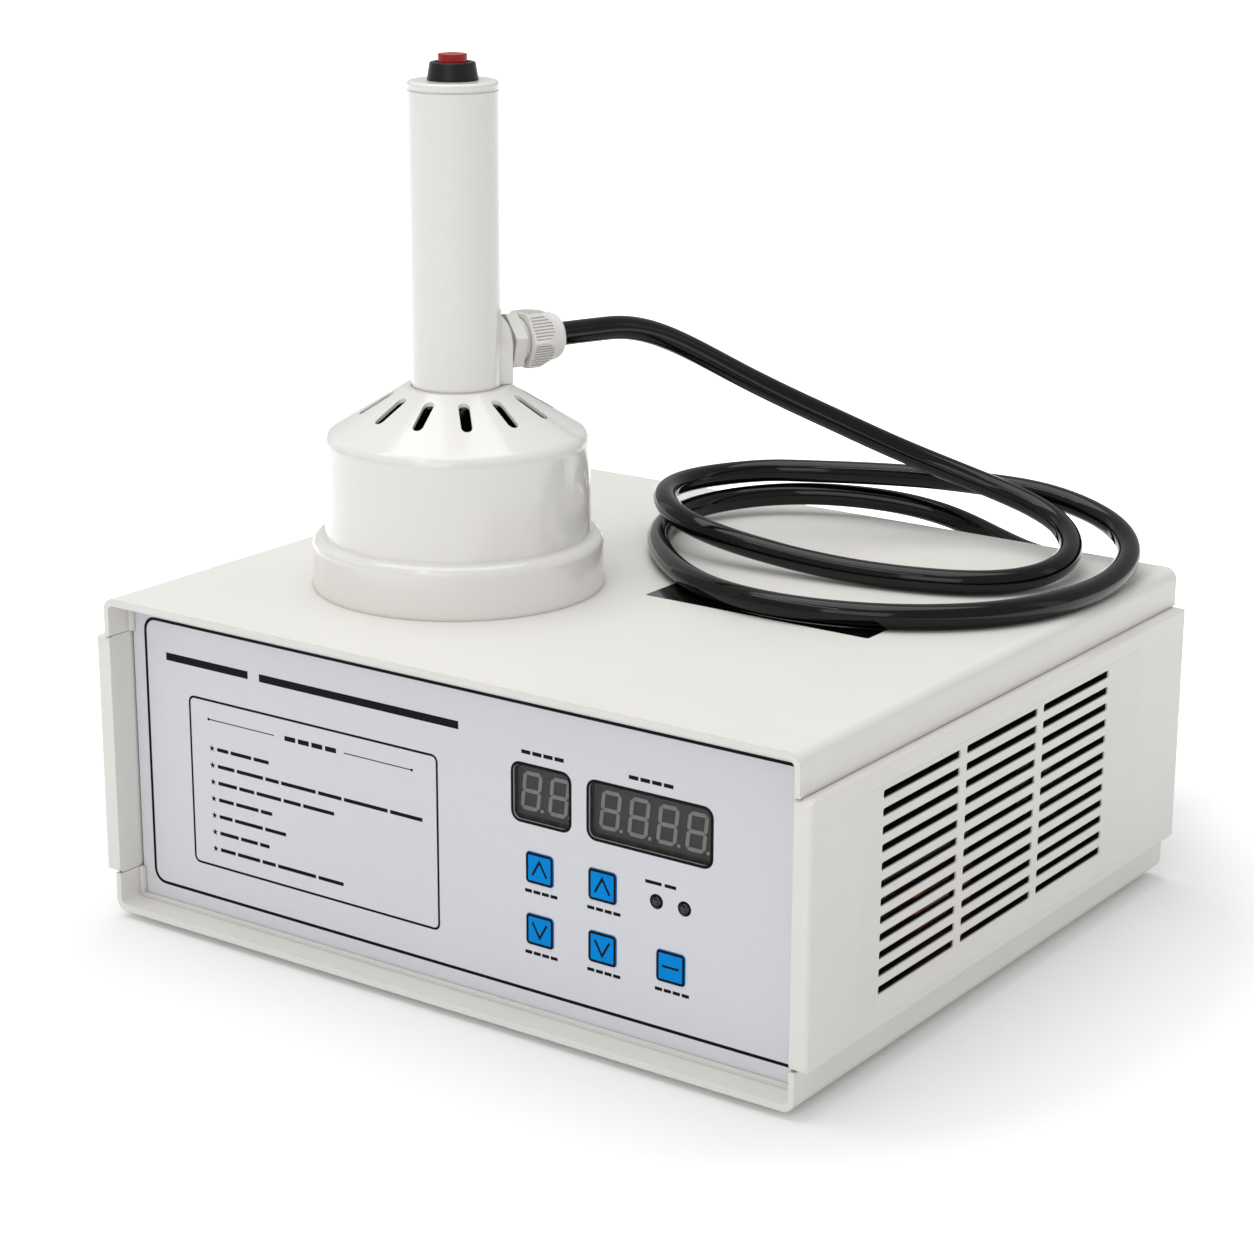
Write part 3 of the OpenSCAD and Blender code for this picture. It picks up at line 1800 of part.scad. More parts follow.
top_cover();
bottom_tray();
left_side_panel();
right_side_panel();
front_panel();
panel_overlay();
display_windows();
display_board();
time_display();
power_display();
indicator_leds();
tact_switches();
time_up_key();
time_down_key();
power_up_key();
power_down_key();
start_key();
rear_panel();
fan_frame();
fan_rotor();
fan_guard();
power_inlet();
inlet_pins();
switch_housing();
switch_rocker();
fuse_holder();
fuse_cap();
fuse();
main_board();
heat_sink();
power_transistors();
bridge_rectifier();
filter_capacitors();
resonant_capacitor();
transformer_core();
transformer_winding();
choke_coil();
case_screws();
board_screws();
panel_screws();
rubber_feet();
top_plate();
head_shell();
handle_tube();
handle_cap();
button_bezel();
trigger_button();
trigger_switch();
button_spring();
coil_former();
induction_coil();
ferrite_bars();
base_plate();
base_screws();
gland_body();
gland_nut();
rear_gland_body();
rear_gland_nut();
rear_gland_locknut();
head_cable();
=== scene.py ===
import json
import math

import bpy
from mathutils import Matrix, Vector


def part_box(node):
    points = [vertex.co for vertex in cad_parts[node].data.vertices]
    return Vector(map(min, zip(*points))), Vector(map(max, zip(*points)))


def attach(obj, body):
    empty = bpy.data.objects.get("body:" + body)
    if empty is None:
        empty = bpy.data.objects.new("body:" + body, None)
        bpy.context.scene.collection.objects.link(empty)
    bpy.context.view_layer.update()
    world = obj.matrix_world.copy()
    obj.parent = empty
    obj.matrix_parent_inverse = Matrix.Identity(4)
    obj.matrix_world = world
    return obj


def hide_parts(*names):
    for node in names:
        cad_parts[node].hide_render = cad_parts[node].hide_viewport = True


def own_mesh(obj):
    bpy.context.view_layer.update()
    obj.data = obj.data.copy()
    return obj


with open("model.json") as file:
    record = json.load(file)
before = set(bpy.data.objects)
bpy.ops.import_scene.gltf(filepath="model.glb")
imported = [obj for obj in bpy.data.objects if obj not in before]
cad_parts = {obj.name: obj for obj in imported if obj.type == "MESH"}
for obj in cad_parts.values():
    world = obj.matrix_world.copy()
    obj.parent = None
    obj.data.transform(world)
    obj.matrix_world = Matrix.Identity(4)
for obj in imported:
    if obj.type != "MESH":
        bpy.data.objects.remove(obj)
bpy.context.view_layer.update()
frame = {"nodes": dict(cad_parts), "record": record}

# Bench induction cap sealer: a vented power box with a hand-held sealing head standing on it.
# Metres, +Z up. The front panel faces -Y.

MM = 0.001
WHITE = (1, 1, 1)
CASE_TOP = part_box("top_cover")[1][2]
FACE_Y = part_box("panel_overlay")[0][1]
PANEL_MID = (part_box("front_panel")[0][2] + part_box("front_panel")[1][2]) / 2

# The case's walls and louvres, and the sealing head's axis and cone, as radius and height above the case
SHELL_WALL = 3 * MM
CASE_SIDE = 165 * MM
CASE_FOOT = 3 * MM
SLOT_DEEP = 167.5 * MM
LOUVRES_Y = (-96.5 * MM, 81 * MM)
LOUVRES_Z = (31 * MM, 111 * MM)
SLIVER = 0.05 * MM
HEAD_AXIS = (-65 * MM, -44 * MM)
CONE_TOP = (21.3 * MM, 82 * MM)
CONE_FOOT = (53.5 * MM, 62.5 * MM)
CONE_SKIN = 1.6 * MM
COLLAR_RADIUS = 19 * MM


# Camera: the fit to the photograph

CAMERA_PLACE = Vector((0.6629, -0.9545, 0.4635))
CAMERA_YAW = 35.256
CAMERA_PITCH = 16.558
CAMERA_ROLL = 0.226
SENSOR_WIDTH = 36
LENS = 84.67
CLIP_START = 0.05
CLIP_END = 60


def make_camera():
    """The camera stands where the photograph was taken from."""
    yaw, pitch, roll = (math.radians(turn) for turn in (CAMERA_YAW, CAMERA_PITCH, CAMERA_ROLL))
    ahead = Vector((-math.sin(yaw) * math.cos(pitch), math.cos(yaw) * math.cos(pitch), -math.sin(pitch)))
    level = ahead.cross(Vector((0, 0, 1))).normalized()
    above = level.cross(ahead)
    right = level * math.cos(roll) + above * math.sin(roll)
    up = above * math.cos(roll) - level * math.sin(roll)
    data = bpy.data.cameras.new("camera")
    data.sensor_width = SENSOR_WIDTH
    data.lens = LENS
    data.clip_start = CLIP_START
    data.clip_end = CLIP_END
    camera = bpy.data.objects.new("camera", data)
    turn = Matrix((right, up, -ahead)).transposed().to_4x4()
    camera.matrix_world = Matrix.Translation(CAMERA_PLACE) @ turn
    bpy.context.scene.collection.objects.link(camera)
    bpy.context.scene.camera = camera


# Materials

# Painted shade: the near-black colour of the faces inside the case and the sealing head
HOLLOW_SHADE_COLOUR = (20, 20, 21)
COAT_ROUGHNESS = 0.06
GLOSS_SPREAD = 0.08
CLOUD_DETAIL = 4
GLOSS_DETAIL = 5
GRAIN_DETAIL = 3
EDGE_SAMPLES = 4
# Painted shade in seams: the samples of its occlusion test, and the openness over which it fades
SEAM_SAMPLES = 6
SEAM_OPENNESS = (0.15, 0.75)
TRACKS_PER_METRE = 60
TRACK_GAP = 0.06
TRACK_SHADE = 0.8


def srgb(red, green, blue):
    """A colour as it looks in a picture, from 0 to 255, as the shader takes it."""
    def linear(value):
        share = value / 255
        return share / 12.92 if share <= 0.04045 else ((share + 0.055) / 1.055) ** 2.4
    return (linear(red), linear(green), linear(blue))


def noise(tree, place, size, detail=2.0, stretch=(1, 1, 1)):
    """Noise whose features are about size metres across."""
    spread = tree.nodes.new("ShaderNodeMapping")
    spread.inputs["Scale"].default_value = stretch
    tree.links.new(place.outputs["Object"], spread.inputs["Vector"])
    texture = tree.nodes.new("ShaderNodeTexNoise")
    texture.inputs["Scale"].default_value = 1 / size
    texture.inputs["Detail"].default_value = detail
    tree.links.new(spread.outputs["Vector"], texture.inputs["Vector"])
    return texture.outputs["Fac"]


def remap(tree, value, low, high, from_low=0.3, from_high=0.7):
    """Spreads a noise between two values."""
    node = tree.nodes.new("ShaderNodeMapRange")
    node.inputs["From Min"].default_value = from_low
    node.inputs["From Max"].default_value = from_high
    node.inputs["To Min"].default_value = low
    node.inputs["To Max"].default_value = high
    tree.links.new(value, node.inputs["Value"])
    return node.outputs["Result"]


def colour_socket(sockets, name):
    """The colour socket among those of a mix that share a name."""
    return next(s for s in sockets if s.type == "RGBA" and s.name == name)


def mix_colours(tree, factor, one, other):
    """A mix from one colour to the other, and the socket that takes the first."""
    node = tree.nodes.new("ShaderNodeMix")
    node.data_type = "RGBA"
    tree.links.new(factor, node.inputs["Factor"])
    first = colour_socket(node.inputs, "A")
    first.default_value = (*one, 1)
    colour_socket(node.inputs, "B").default_value = (*other, 1)
    return colour_socket(node.outputs, "Result"), first


def arithmetic(tree, operation, one, other, third=None):
    """One step of arithmetic on sockets or plain numbers."""
    node = tree.nodes.new("ShaderNodeMath")
    node.operation = operation
    for socket, value in zip(node.inputs, (one, other, third)):
        if isinstance(value, (int, float)):
            socket.default_value = value
        elif value is not None:
            tree.links.new(value, socket)
    return node.outputs["Value"]


def split(tree, vector):
    """The three parts of a vector."""
    node = tree.nodes.new("ShaderNodeSeparateXYZ")
    tree.links.new(vector, node.inputs["Vector"])
    return node.outputs["X"], node.outputs["Y"], node.outputs["Z"]


def within(tree, value, low, high):
    """1 where a value lies between two numbers, and 0 elsewhere."""
    return arithmetic(tree, "COMPARE", value, (low + high) / 2, (high - low) / 2)


def surface(name, colour, rough, metal=0.0, coat=0.0, alpha=1.0, uneven=0.03, patch=0.05,
            grain=0.0006, depth=0.00001, soften=0.0003, stretch=(1, 1, 1), shine=0.5):
    """A finish with clouded colour, uneven gloss, a fine grain and softened edges."""
    finish = bpy.data.materials.new(name)
    finish.use_nodes = True
    tree = finish.node_tree
    shader = tree.nodes["Principled BSDF"]
    shader.inputs["Metallic"].default_value = metal
    shader.inputs["Coat Weight"].default_value = coat
    shader.inputs["Coat Roughness"].default_value = COAT_ROUGHNESS
    shader.inputs["Specular IOR Level"].default_value = shine
    shader.inputs["Alpha"].default_value = alpha
    place = tree.nodes.new("ShaderNodeTexCoord")
    cloud = noise(tree, place, patch, CLOUD_DETAIL, stretch)
    dark = tuple(c * (1 - uneven) for c in colour)
    pale = tuple(min(c * (1 + uneven), 1) for c in colour)
    shade = mix_colours(tree, remap(tree, cloud, 0, 1), dark, pale)[0]
    tree.links.new(shade, shader.inputs["Base Color"])
    gloss = noise(tree, place, patch / 4, GLOSS_DETAIL, stretch)
    tree.links.new(remap(tree, gloss, rough * (1 - GLOSS_SPREAD), rough * (1 + GLOSS_SPREAD)),
                   shader.inputs["Roughness"])
    bump = tree.nodes.new("ShaderNodeBump")
    bump.inputs["Strength"].default_value = 1
    bump.inputs["Distance"].default_value = depth
    tree.links.new(noise(tree, place, grain, GRAIN_DETAIL, stretch), bump.inputs["Height"])
    if soften:
        edge = tree.nodes.new("ShaderNodeBevel")
        edge.samples = EDGE_SAMPLES
        edge.inputs["Radius"].default_value = soften
        tree.links.new(edge.outputs["Normal"], bump.inputs["Normal"])
    tree.links.new(bump.outputs["Normal"], shader.inputs["Normal"])
    return finish


def in_box(tree, sockets, corner, opposite):
    """1 inside a box that is given by two corners, and 0 outside."""
    parts = [within(tree, *limits) for limits in zip(sockets, corner, opposite)]
    return arithmetic(tree, "MULTIPLY", arithmetic(tree, "MULTIPLY", parts[0], parts[1]), parts[2])


def inside_case(tree, place):
    """1 on the case's inner faces, and on those of the slots in its side panels, where shade is painted."""
    x, y, z = split(tree, place.outputs["Object"])
    across = CASE_SIDE - SHELL_WALL + SLIVER
    front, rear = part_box("front_panel")[1][1] - SLIVER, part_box("rear_panel")[0][1] + SLIVER
    floor, ceiling = CASE_FOOT + SHELL_WALL - SLIVER, CASE_TOP - SHELL_WALL + SLIVER
    room = in_box(tree, (x, y, z), (-across, front, floor), (across, rear, ceiling))
    slots = in_box(tree, (x, y, z), (-SLOT_DEEP, LOUVRES_Y[0], LOUVRES_Z[0]),
                   (SLOT_DEEP, LOUVRES_Y[1], LOUVRES_Z[1]))
    return arithmetic(tree, "MAXIMUM", room, slots)


def inside_head(tree, place):
    """1 under the cone of the sealing head, where shade is painted, and 0 on its outer face and in the upper
    part of its slots.
    """
    offset = tree.nodes.new("ShaderNodeVectorMath")
    offset.operation = "SUBTRACT"
    tree.links.new(place.outputs["Object"], offset.inputs[0])
    offset.inputs[1].default_value = (*HEAD_AXIS, CASE_TOP)
    x, y, z = split(tree, offset.outputs["Vector"])
    squares = arithmetic(tree, "ADD", arithmetic(tree, "MULTIPLY", x, x), arithmetic(tree, "MULTIPLY", y, y))
    out = arithmetic(tree, "SQRT", squares, None)
    fall = (CONE_TOP[1] - CONE_FOOT[1]) / (CONE_FOOT[0] - CONE_TOP[0])
    skin = arithmetic(tree, "MULTIPLY_ADD", out, -fall, CONE_TOP[1] + fall * CONE_TOP[0] - CONE_SKIN)
    below = arithmetic(tree, "LESS_THAN", z, skin)
    around = within(tree, out, COLLAR_RADIUS, CONE_FOOT[0] - CONE_SKIN)
    return arithmetic(tree, "MULTIPLY", below, around)


def paint_seam_shade(finish, reach, depth):
    """Painted shade in the narrow gaps between pieces, and none on open faces."""
    tree = finish.node_tree
    shader = tree.nodes["Principled BSDF"]
    outer = shader.inputs["Base Color"].links[0].from_socket
    closed = tree.nodes.new("ShaderNodeAmbientOcclusion")
    closed.samples = SEAM_SAMPLES
    closed.inputs["Distance"].default_value = reach
    share = remap(tree, closed.outputs["AO"], depth, 1, *SEAM_OPENNESS)
    scaled = tree.nodes.new("ShaderNodeVectorMath")
    scaled.operation = "SCALE"
    tree.links.new(outer, scaled.inputs[0])
    tree.links.new(share, scaled.inputs["Scale"])
    tree.links.new(scaled.outputs["Vector"], shader.inputs["Base Color"])
    return finish


def paint_hollow_shade(finish, hollow):
    """Paints shade on the faces inside a housing: they take a near-black colour that stands for the dark
    there.
    """
    tree = finish.node_tree
    shader = tree.nodes["Principled BSDF"]
    outer = shader.inputs["Base Color"].links[0].from_socket
    place = tree.nodes.new("ShaderNodeTexCoord")
    mixed, first = mix_colours(tree, hollow(tree, place), WHITE, srgb(*HOLLOW_SHADE_COLOUR))
    tree.links.new(outer, first)
    tree.links.new(mixed, shader.inputs["Base Color"])
    return finish


def circuit_board(name, mask, copper):
    """Solder mask over copper tracks, which show as a paler pattern."""
    board = surface(name, mask, 0.35, coat=0.3, patch=0.02)
    tree = board.node_tree
    shader = tree.nodes["Principled BSDF"]
    place = tree.nodes.new("ShaderNodeTexCoord")
    cells = tree.nodes.new("ShaderNodeTexBrick")
    cells.inputs["Scale"].default_value = TRACKS_PER_METRE
    cells.inputs["Mortar Size"].default_value = TRACK_GAP
    cells.inputs["Color1"].default_value = (*mask, 1)
    cells.inputs["Color2"].default_value = (*(c * TRACK_SHADE for c in mask), 1)
    cells.inputs["Mortar"].default_value = (*copper, 1)
    tree.links.new(place.outputs["Object"], cells.inputs["Vector"])
    tree.links.new(cells.outputs["Color"], shader.inputs["Base Color"])
    return board


def make_finishes():
    """One material for each slot of the record, and some for the print and the digits."""
    paint = surface("case_paint", srgb(231, 229, 224), 0.42, uneven=0.012, grain=0.0009,
                    depth=0.000012, soften=0.0005)
    head = surface("head_plastic", srgb(233, 231, 227), 0.18, coat=0.25, uneven=0.008, depth=0.000004,
                   soften=0.0006)
    rear = surface("rear_metal", srgb(214, 212, 206), 0.4, grain=0.0012, depth=0.00002)
    gland = surface("gland_plastic", srgb(234, 232, 228), 0.34, uneven=0.012, soften=0.0004)
    return {
        # Painted shade in the seams of the case, the head and the gland, and near-black painted shade on the
        # faces inside the case and the head
        "case_paint": paint_hollow_shade(paint_seam_shade(paint, 3 * MM, 0.55), inside_case),
        "head_plastic": paint_hollow_shade(paint_seam_shade(head, 3 * MM, 0.5), inside_head),
        "gland_plastic": paint_seam_shade(gland, 2.5 * MM, 0.3),
        # Painted shade: the front panel shows only as the slit round the overlay, and its dark grey stands
        # for the shade in that gap
        "panel_plastic": surface("panel_plastic", srgb(150, 150, 148), 0.45),
        "rear_metal": paint_hollow_shade(rear, inside_case),
        "overlay_film": surface("overlay_film", srgb(219, 220, 225), 0.42, uneven=0.006, patch=0.12,
                                grain=0.0005, depth=0.000004, soften=0, shine=0.35),
        "window_film": surface("window_film", srgb(26, 26, 27), 0.12, alpha=0.3, soften=0, depth=0),
        "digit_black": surface("digit_black", srgb(86, 86, 85), 0.5, soften=0.0002),
        "lamp_dark": surface("lamp_dark", srgb(10, 10, 11), 0.06, soften=0, depth=0, shine=0.5),
        "key_blue": surface("key_blue", srgb(0, 138, 222), 0.5, uneven=0.04, patch=0.008, shine=0.05),
        "black_plastic": surface("black_plastic", srgb(24, 25, 26), 0.34, shine=0.25),
        "inlay_black": surface("inlay_black", srgb(12, 12, 13), 0.05, coat=0.3, depth=0),
        "board_green": circuit_board("board_green", srgb(28, 84, 46), srgb(58, 122, 70)),
        "steel": surface("steel", srgb(188, 189, 192), 0.28, metal=1, uneven=0.06, patch=0.004,
                         soften=0.0002),
        "brass": surface("brass", srgb(205, 172, 104), 0.24, metal=1, patch=0.004, soften=0.0002),
        "fuse_glass": surface("fuse_glass", srgb(214, 220, 221), 0.06, alpha=0.6, soften=0),
        "sink_aluminium": surface("sink_aluminium", srgb(196, 198, 201), 0.35, metal=1,
                                  stretch=(0.1, 1, 1), patch=0.003),
        "capacitor_case": surface("capacitor_case", srgb(224, 212, 176), 0.4),
        "core_steel": surface("core_steel", srgb(72, 72, 76), 0.5, metal=0.6, patch=0.002,
                              stretch=(0.1, 3, 0.1)),
        "ferrite": surface("ferrite", srgb(58, 58, 60), 0.6, grain=0.0004, depth=0.00003),
        "copper": surface("copper", srgb(176, 102, 58), 0.3, metal=0.85, coat=0.4, uneven=0.1,
                          patch=0.006),
        "former_board": surface("former_board", srgb(218, 208, 176), 0.5, uneven=0.05, patch=0.004),
        "button_red": surface("button_red", srgb(158, 15, 12), 0.22, uneven=0.08, patch=0.004,
                              shine=0.25),
        "foot_rubber": surface("foot_rubber", srgb(30, 30, 31), 0.7, grain=0.0005, depth=0.00004),
        "cable_sheath": surface("cable_sheath", srgb(8, 8, 8), 0.09, coat=0.1, uneven=0.12, patch=0.02,
                                grain=0.0014, depth=0.000006, soften=0, shine=0.25),
        "ink": surface("ink", srgb(13, 13, 14), 0.55, uneven=0.08, patch=0.004, soften=0, shine=0.08),
        "segment": surface("segment", srgb(226, 225, 221), 0.5, uneven=0.04, patch=0.003, soften=0),
        "mark": surface("mark", srgb(226, 226, 224), 0.5, patch=0.002, soften=0),
    }


def dress_nodes(finishes):
    """Gives each CAD node the finish of its slot in the record."""
    for part in frame["record"]["subparts"]:
        node = frame["nodes"][part["node"]]
        finish = finishes[part["material_slot"]]
        if not node.material_slots:
            node.data.materials.append(finish)
        for holder in node.material_slots:
            holder.link = "OBJECT"
            holder.material = finish


# Meshes

def add_mesh(name, points, faces, finish, body, smooth=False):
    """A new piece that rides on a body and takes the finish it is given."""
    mesh = bpy.data.meshes.new(name)
    mesh.from_pydata(points, [], faces)
    mesh.materials.append(finish)
    if smooth:
        mesh.shade_smooth()
    piece = bpy.data.objects.new(name, mesh)
    bpy.context.scene.collection.objects.link(piece)
    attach(piece, body)
    return piece


def rounded_box(x0, z0, x1, z1, radius, steps=5):
    """Outline of a rectangle with round corners, anticlockwise as seen from the front."""
    corners = ((x1 - radius, z0 + radius, 270), (x1 - radius, z1 - radius, 0),
               (x0 + radius, z1 - radius, 90), (x0 + radius, z0 + radius, 180))
    outline = []
    for x, z, start in corners:
        for i in range(steps + 1):
            angle = math.radians(start + 90 * i / steps)
            outline.append((x + radius * math.cos(angle), z + radius * math.sin(angle)))
    return outline


def ring_outline(x, z, radius, steps=32):
    """A circle's outline, anticlockwise as seen from the front."""
    angles = (2 * math.pi * i / steps for i in range(steps))
    return [(x + radius * math.cos(a), z + radius * math.sin(a)) for a in angles]


PRINT_RISE = 0.05 * MM
SHARPEST_CORNER = 0.1 * MM
STAR_TIPS = 5
STAR_WAIST = 0.42


class Print:
    """Thin raised shapes on an upright face, gathered into one mesh."""

    def __init__(self, face, rise=PRINT_RISE):
        self.back = face
        self.front = face - rise
        self.points = []
        self.faces = []

    def add_outline(self, outline, y):
        """Adds the points of an outline at one depth, and gives the number of the first."""
        first = len(self.points)
        self.points += [(x, y, z) for x, z in outline]
        return first

    def fill(self, outline):
        """A flat shape with a convex outline."""
        n = len(outline)
        front = self.add_outline(outline, self.front)
        back = self.add_outline(outline, self.back)
        self.faces.append([front + i for i in range(n)])
        self.faces.append([back + i for i in reversed(range(n))])
        for i in range(n):
            j = (i + 1) % n
            self.faces.append([front + j, front + i, back + i, back + j])

    def band(self, outer, inner):
        """The strip between two outlines with as many points each."""
        n = len(outer)
        rows = [self.add_outline(o, y) for y in (self.front, self.back) for o in (outer, inner)]
        out_front, in_front, out_back, in_back = rows
        for i in range(n):
            j = (i + 1) % n
            self.faces.append([out_front + i, out_front + j, in_front + j, in_front + i])
            self.faces.append([out_back + j, out_back + i, in_back + i, in_back + j])
            self.faces.append([out_front + j, out_front + i, out_back + i, out_back + j])
            self.faces.append([in_front + i, in_front + j, in_back + j, in_back + i])

    def frame(self, x0, z0, x1, z1, radius, width):
        """A rounded frame whose outer edge is given."""
        inner_radius = max(radius - width, SHARPEST_CORNER)
        self.band(rounded_box(x0, z0, x1, z1, radius),
                  rounded_box(x0 + width, z0 + width, x1 - width, z1 - width, inner_radius))

    def circle(self, x, z, radius, width):
        """A ring whose outer radius is given."""
        self.band(ring_outline(x, z, radius), ring_outline(x, z, radius - width))

    def line(self, x0, z0, x1, z1, width):
        """A straight bar with square ends."""
        along = Vector((x1 - x0, z1 - z0)).normalized() * width / 2
        side = Vector((-along.y, along.x))
        a = Vector((x0, z0))
        b = Vector((x1, z1))
        self.fill([tuple(a - side), tuple(b - side), tuple(b + side), tuple(a + side)])

    def bend(self, a, b, c, width):
        """Two bars that meet in a mitre at b."""
        first = (b - a).normalized()
        second = (c - b).normalized()
        side_a = Vector((-first.y, first.x)) * width / 2
        side_c = Vector((-second.y, second.x)) * width / 2
        middle = (side_a + side_c).normalized()
        reach = middle * (width / 2 / middle.dot(side_a.normalized()))
        self.fill([tuple(a - side_a), tuple(b - reach), tuple(b + reach), tuple(a + side_a)])
        self.fill([tuple(b - reach), tuple(c - side_c), tuple(c + side_c), tuple(b + reach)])

    def star(self, x, z, radius):
        """A five-pointed star, as kites about its centre."""
        def tip(turn, share):
            angle = math.radians(90 + 180 / STAR_TIPS * turn)
            return (x + radius * share * math.cos(angle), z + radius * share * math.sin(angle))
        for i in range(STAR_TIPS):
            self.fill([(x, z), tip(2 * i - 1, STAR_WAIST), tip(2 * i, 1), tip(2 * i + 1, STAR_WAIST)])

    def build(self, name, finish, body):
        """The mesh of all that was added."""
        return add_mesh(name, self.points, self.faces, finish, body)


# Cable

# The route of part.scad, in whole millimetres: x and y from the case's centre, z from the top's face
ROUTE = (
    (-49, 1, 97), (-45, 12, 97), (-41, 22, 97), (-37, 32, 97), (-31, 47, 93), (-22, 63, 84),
    (-9, 81, 71), (7, 98, 59), (23, 112, 49), (41, 124, 39), (61, 133, 31), (83, 139, 24),
    (103, 139, 19), (120, 131, 15), (132, 117, 11), (137, 101, 8), (135, 85, 6), (127, 71, 5),
    (115, 60, 5), (98, 53, 5), (75, 48, 5), (53, 45, 6), (30, 43, 8), (6, 42, 11),
    (-13, 45, 14), (-28, 53, 16), (-40, 66, 18), (-46, 82, 18), (-45, 99, 18), (-38, 115, 18),
    (-25, 128, 19), (-9, 136, 19), (9, 141, 20), (28, 145, 21), (50, 148, 22), (72, 150, 22),
    (93, 152, 22), (113, 151, 20), (131, 146, 17), (145, 137, 14), (155, 124, 10), (160, 106, 7),
    (161, 85, 5), (159, 63, 5), (153, 42, 5), (143, 24, 5), (128, 9, 5), (110, -3, 5),
    (88, -11, 5), (65, -14, 5), (41, -11, 5), (17, 0, 5), (-8, 21, 5), (-27, 43, 5),
    (-38, 63, 5), (-43, 83, 6), (-39, 104, 7), (-27, 123, 8), (-9, 136, 9), (13, 144, 9),
    (35, 149, 8), (54, 157, 3), (66, 169, -6), (74, 184, -15), (80, 201, -22), (86, 220, -29),
    (93, 236, -42), (99, 243, -61), (105, 239, -82), (111, 223, -98), (114, 203, -103),
    (115, 189, -103), (115, 175, -103), (115, 163, -103))
CABLE_RADIUS = 5 * MM
CABLE_LIFT = 0.2 * MM
CABLE_SEAT = 8 * MM
CABLE_STEPS = 5
CABLE_ROUNDNESS = 6


def cable_line():
    """The smooth line through the route, with a straight run into the gland at each end."""
    lift = Vector((0, 0, CASE_TOP + CABLE_LIFT))
    route = [Vector(p) * MM + lift for p in ROUTE]
    route = [2 * route[0] - route[1]] + route + [2 * route[-1] - route[-2]]
    line = [route[1] + (route[0] - route[1]).normalized() * CABLE_SEAT]
    for a, b, c, d in zip(route, route[1:], route[2:], route[3:]):
        for i in range(CABLE_STEPS):
            t = i / CABLE_STEPS
            line.append(((1 - t) ** 3 * a + (3 * t ** 3 - 6 * t ** 2 + 4) * b
                         + (3 * t + 3 * t ** 2 - 3 * t ** 3 + 1) * c + t ** 3 * d) / 6)
    line.append(route[-2])
    line.append(route[-2] + (route[-1] - route[-2]).normalized() * CABLE_SEAT)
    return line


def make_cable(finishes):
    """The smooth cable from the gland on the handle to the one in the rear panel."""
    line = cable_line()
    curve = bpy.data.curves.new("head_cable_sheath", "CURVE")
    curve.dimensions = "3D"
    curve.bevel_depth = CABLE_RADIUS
    curve.bevel_resolution = CABLE_ROUNDNESS
    curve.use_fill_caps = True
    spline = curve.splines.new("POLY")
    spline.points.add(len(line) - 1)
    for point, place in zip(spline.points, line):
        point.co = (*place, 1)
    spline.use_smooth = True
    curve.materials.append(finishes["cable_sheath"])
    cable = bpy.data.objects.new("head_cable_sheath", curve)
    bpy.context.scene.collection.objects.link(cable)
    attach(cable, "case")
    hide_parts("head_cable")


# Spring of the trigger button

SPRING_TURNS = 4
SPRING_STEPS = 24
SPRING_SIDES = 10
SPRING_WIRE_RADIUS = 0.4 * MM


def make_spring(finishes):
    """The button's coil spring, in the place of the button_spring part."""
    low, high = (Vector(corner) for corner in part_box("button_spring"))
    radius = (high.x - low.x) / 2 - SPRING_WIRE_RADIUS
    middle = (low + high) / 2
    rings = SPRING_TURNS * SPRING_STEPS
    climb = (high.z - low.z - 2 * SPRING_WIRE_RADIUS) / rings
    points = []
    faces = []
    for i in range(rings + 1):
        turn = 2 * math.pi * i / SPRING_STEPS
        for j in range(SPRING_SIDES):
            round_wire = 2 * math.pi * j / SPRING_SIDES
            out = radius + SPRING_WIRE_RADIUS * math.cos(round_wire)
            points.append((middle.x + out * math.cos(turn), middle.y + out * math.sin(turn),
                           low.z + i * climb + SPRING_WIRE_RADIUS * (1 + math.sin(round_wire))))
    for i in range(rings):
        for j in range(SPRING_SIDES):
            a = i * SPRING_SIDES + j
            b = i * SPRING_SIDES + (j + 1) % SPRING_SIDES
            faces.append((a, a + SPRING_SIDES, b + SPRING_SIDES, b))
    faces.append(range(SPRING_SIDES))
    faces.append([rings * SPRING_SIDES + j for j in reversed(range(SPRING_SIDES))])
    spring = add_mesh("coil_spring", points, faces, finishes["steel"], "case", smooth=True)
    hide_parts("button_spring")
    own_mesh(spring)


# Print on the front panel

KEYS = {"time_up_key": "up", "time_down_key": "down", "power_up_key": "up", "power_down_key": "down",
        "start_key": "bar"}
WINDOW_WIDTHS = (25.6 * MM, 53.5 * MM)
WINDOW_HEIGHT = 21.4 * MM
WINDOW_ROUND = 3 * MM
WINDOW_CENTRES = (44.65 * MM, 93.35 * MM)
WINDOW_Z = PANEL_MID + 22.75 * MM
LAMP_CENTRES = (96.8 * MM, 109.1 * MM)
LAMP_Z = PANEL_MID - 6.5 * MM
LAMP_RADIUS = 2.45 * MM


def bars(ink, x0, z, widths, gap, height):
    """A row of plain bars that stands for words."""
    x = x0
    for width in widths:
        ink.line(x, z, x + width, z, height)
        x += width + gap


BORDER = (-155.7 * MM, PANEL_MID - 56.5 * MM, 160.6 * MM, PANEL_MID + 58.3 * MM)
BORDER_ROUND = 6 * MM
BORDER_WIDTH = 1.3 * MM
NOTICE_ROUND = 3 * MM
NOTICE_WIDTH = 0.95 * MM
RULE_WIDTH = 0.4 * MM
RULE_DOT = 0.6 * MM
TITLE_LEFT = -144 * MM
TITLE_Z = PANEL_MID + 43 * MM
WINDOW_EDGE = 1.2 * MM
# Widths of the bars in each row of the notice, in millimetres
NOTICE_ROWS = ((6, 11, 8), (9, 14, 7, 18, 12, 22, 16), (10, 8, 13, 9, 16), (8, 12, 6), (7, 15, 11),
               (10, 9, 5), (8, 12, 7, 20, 13))


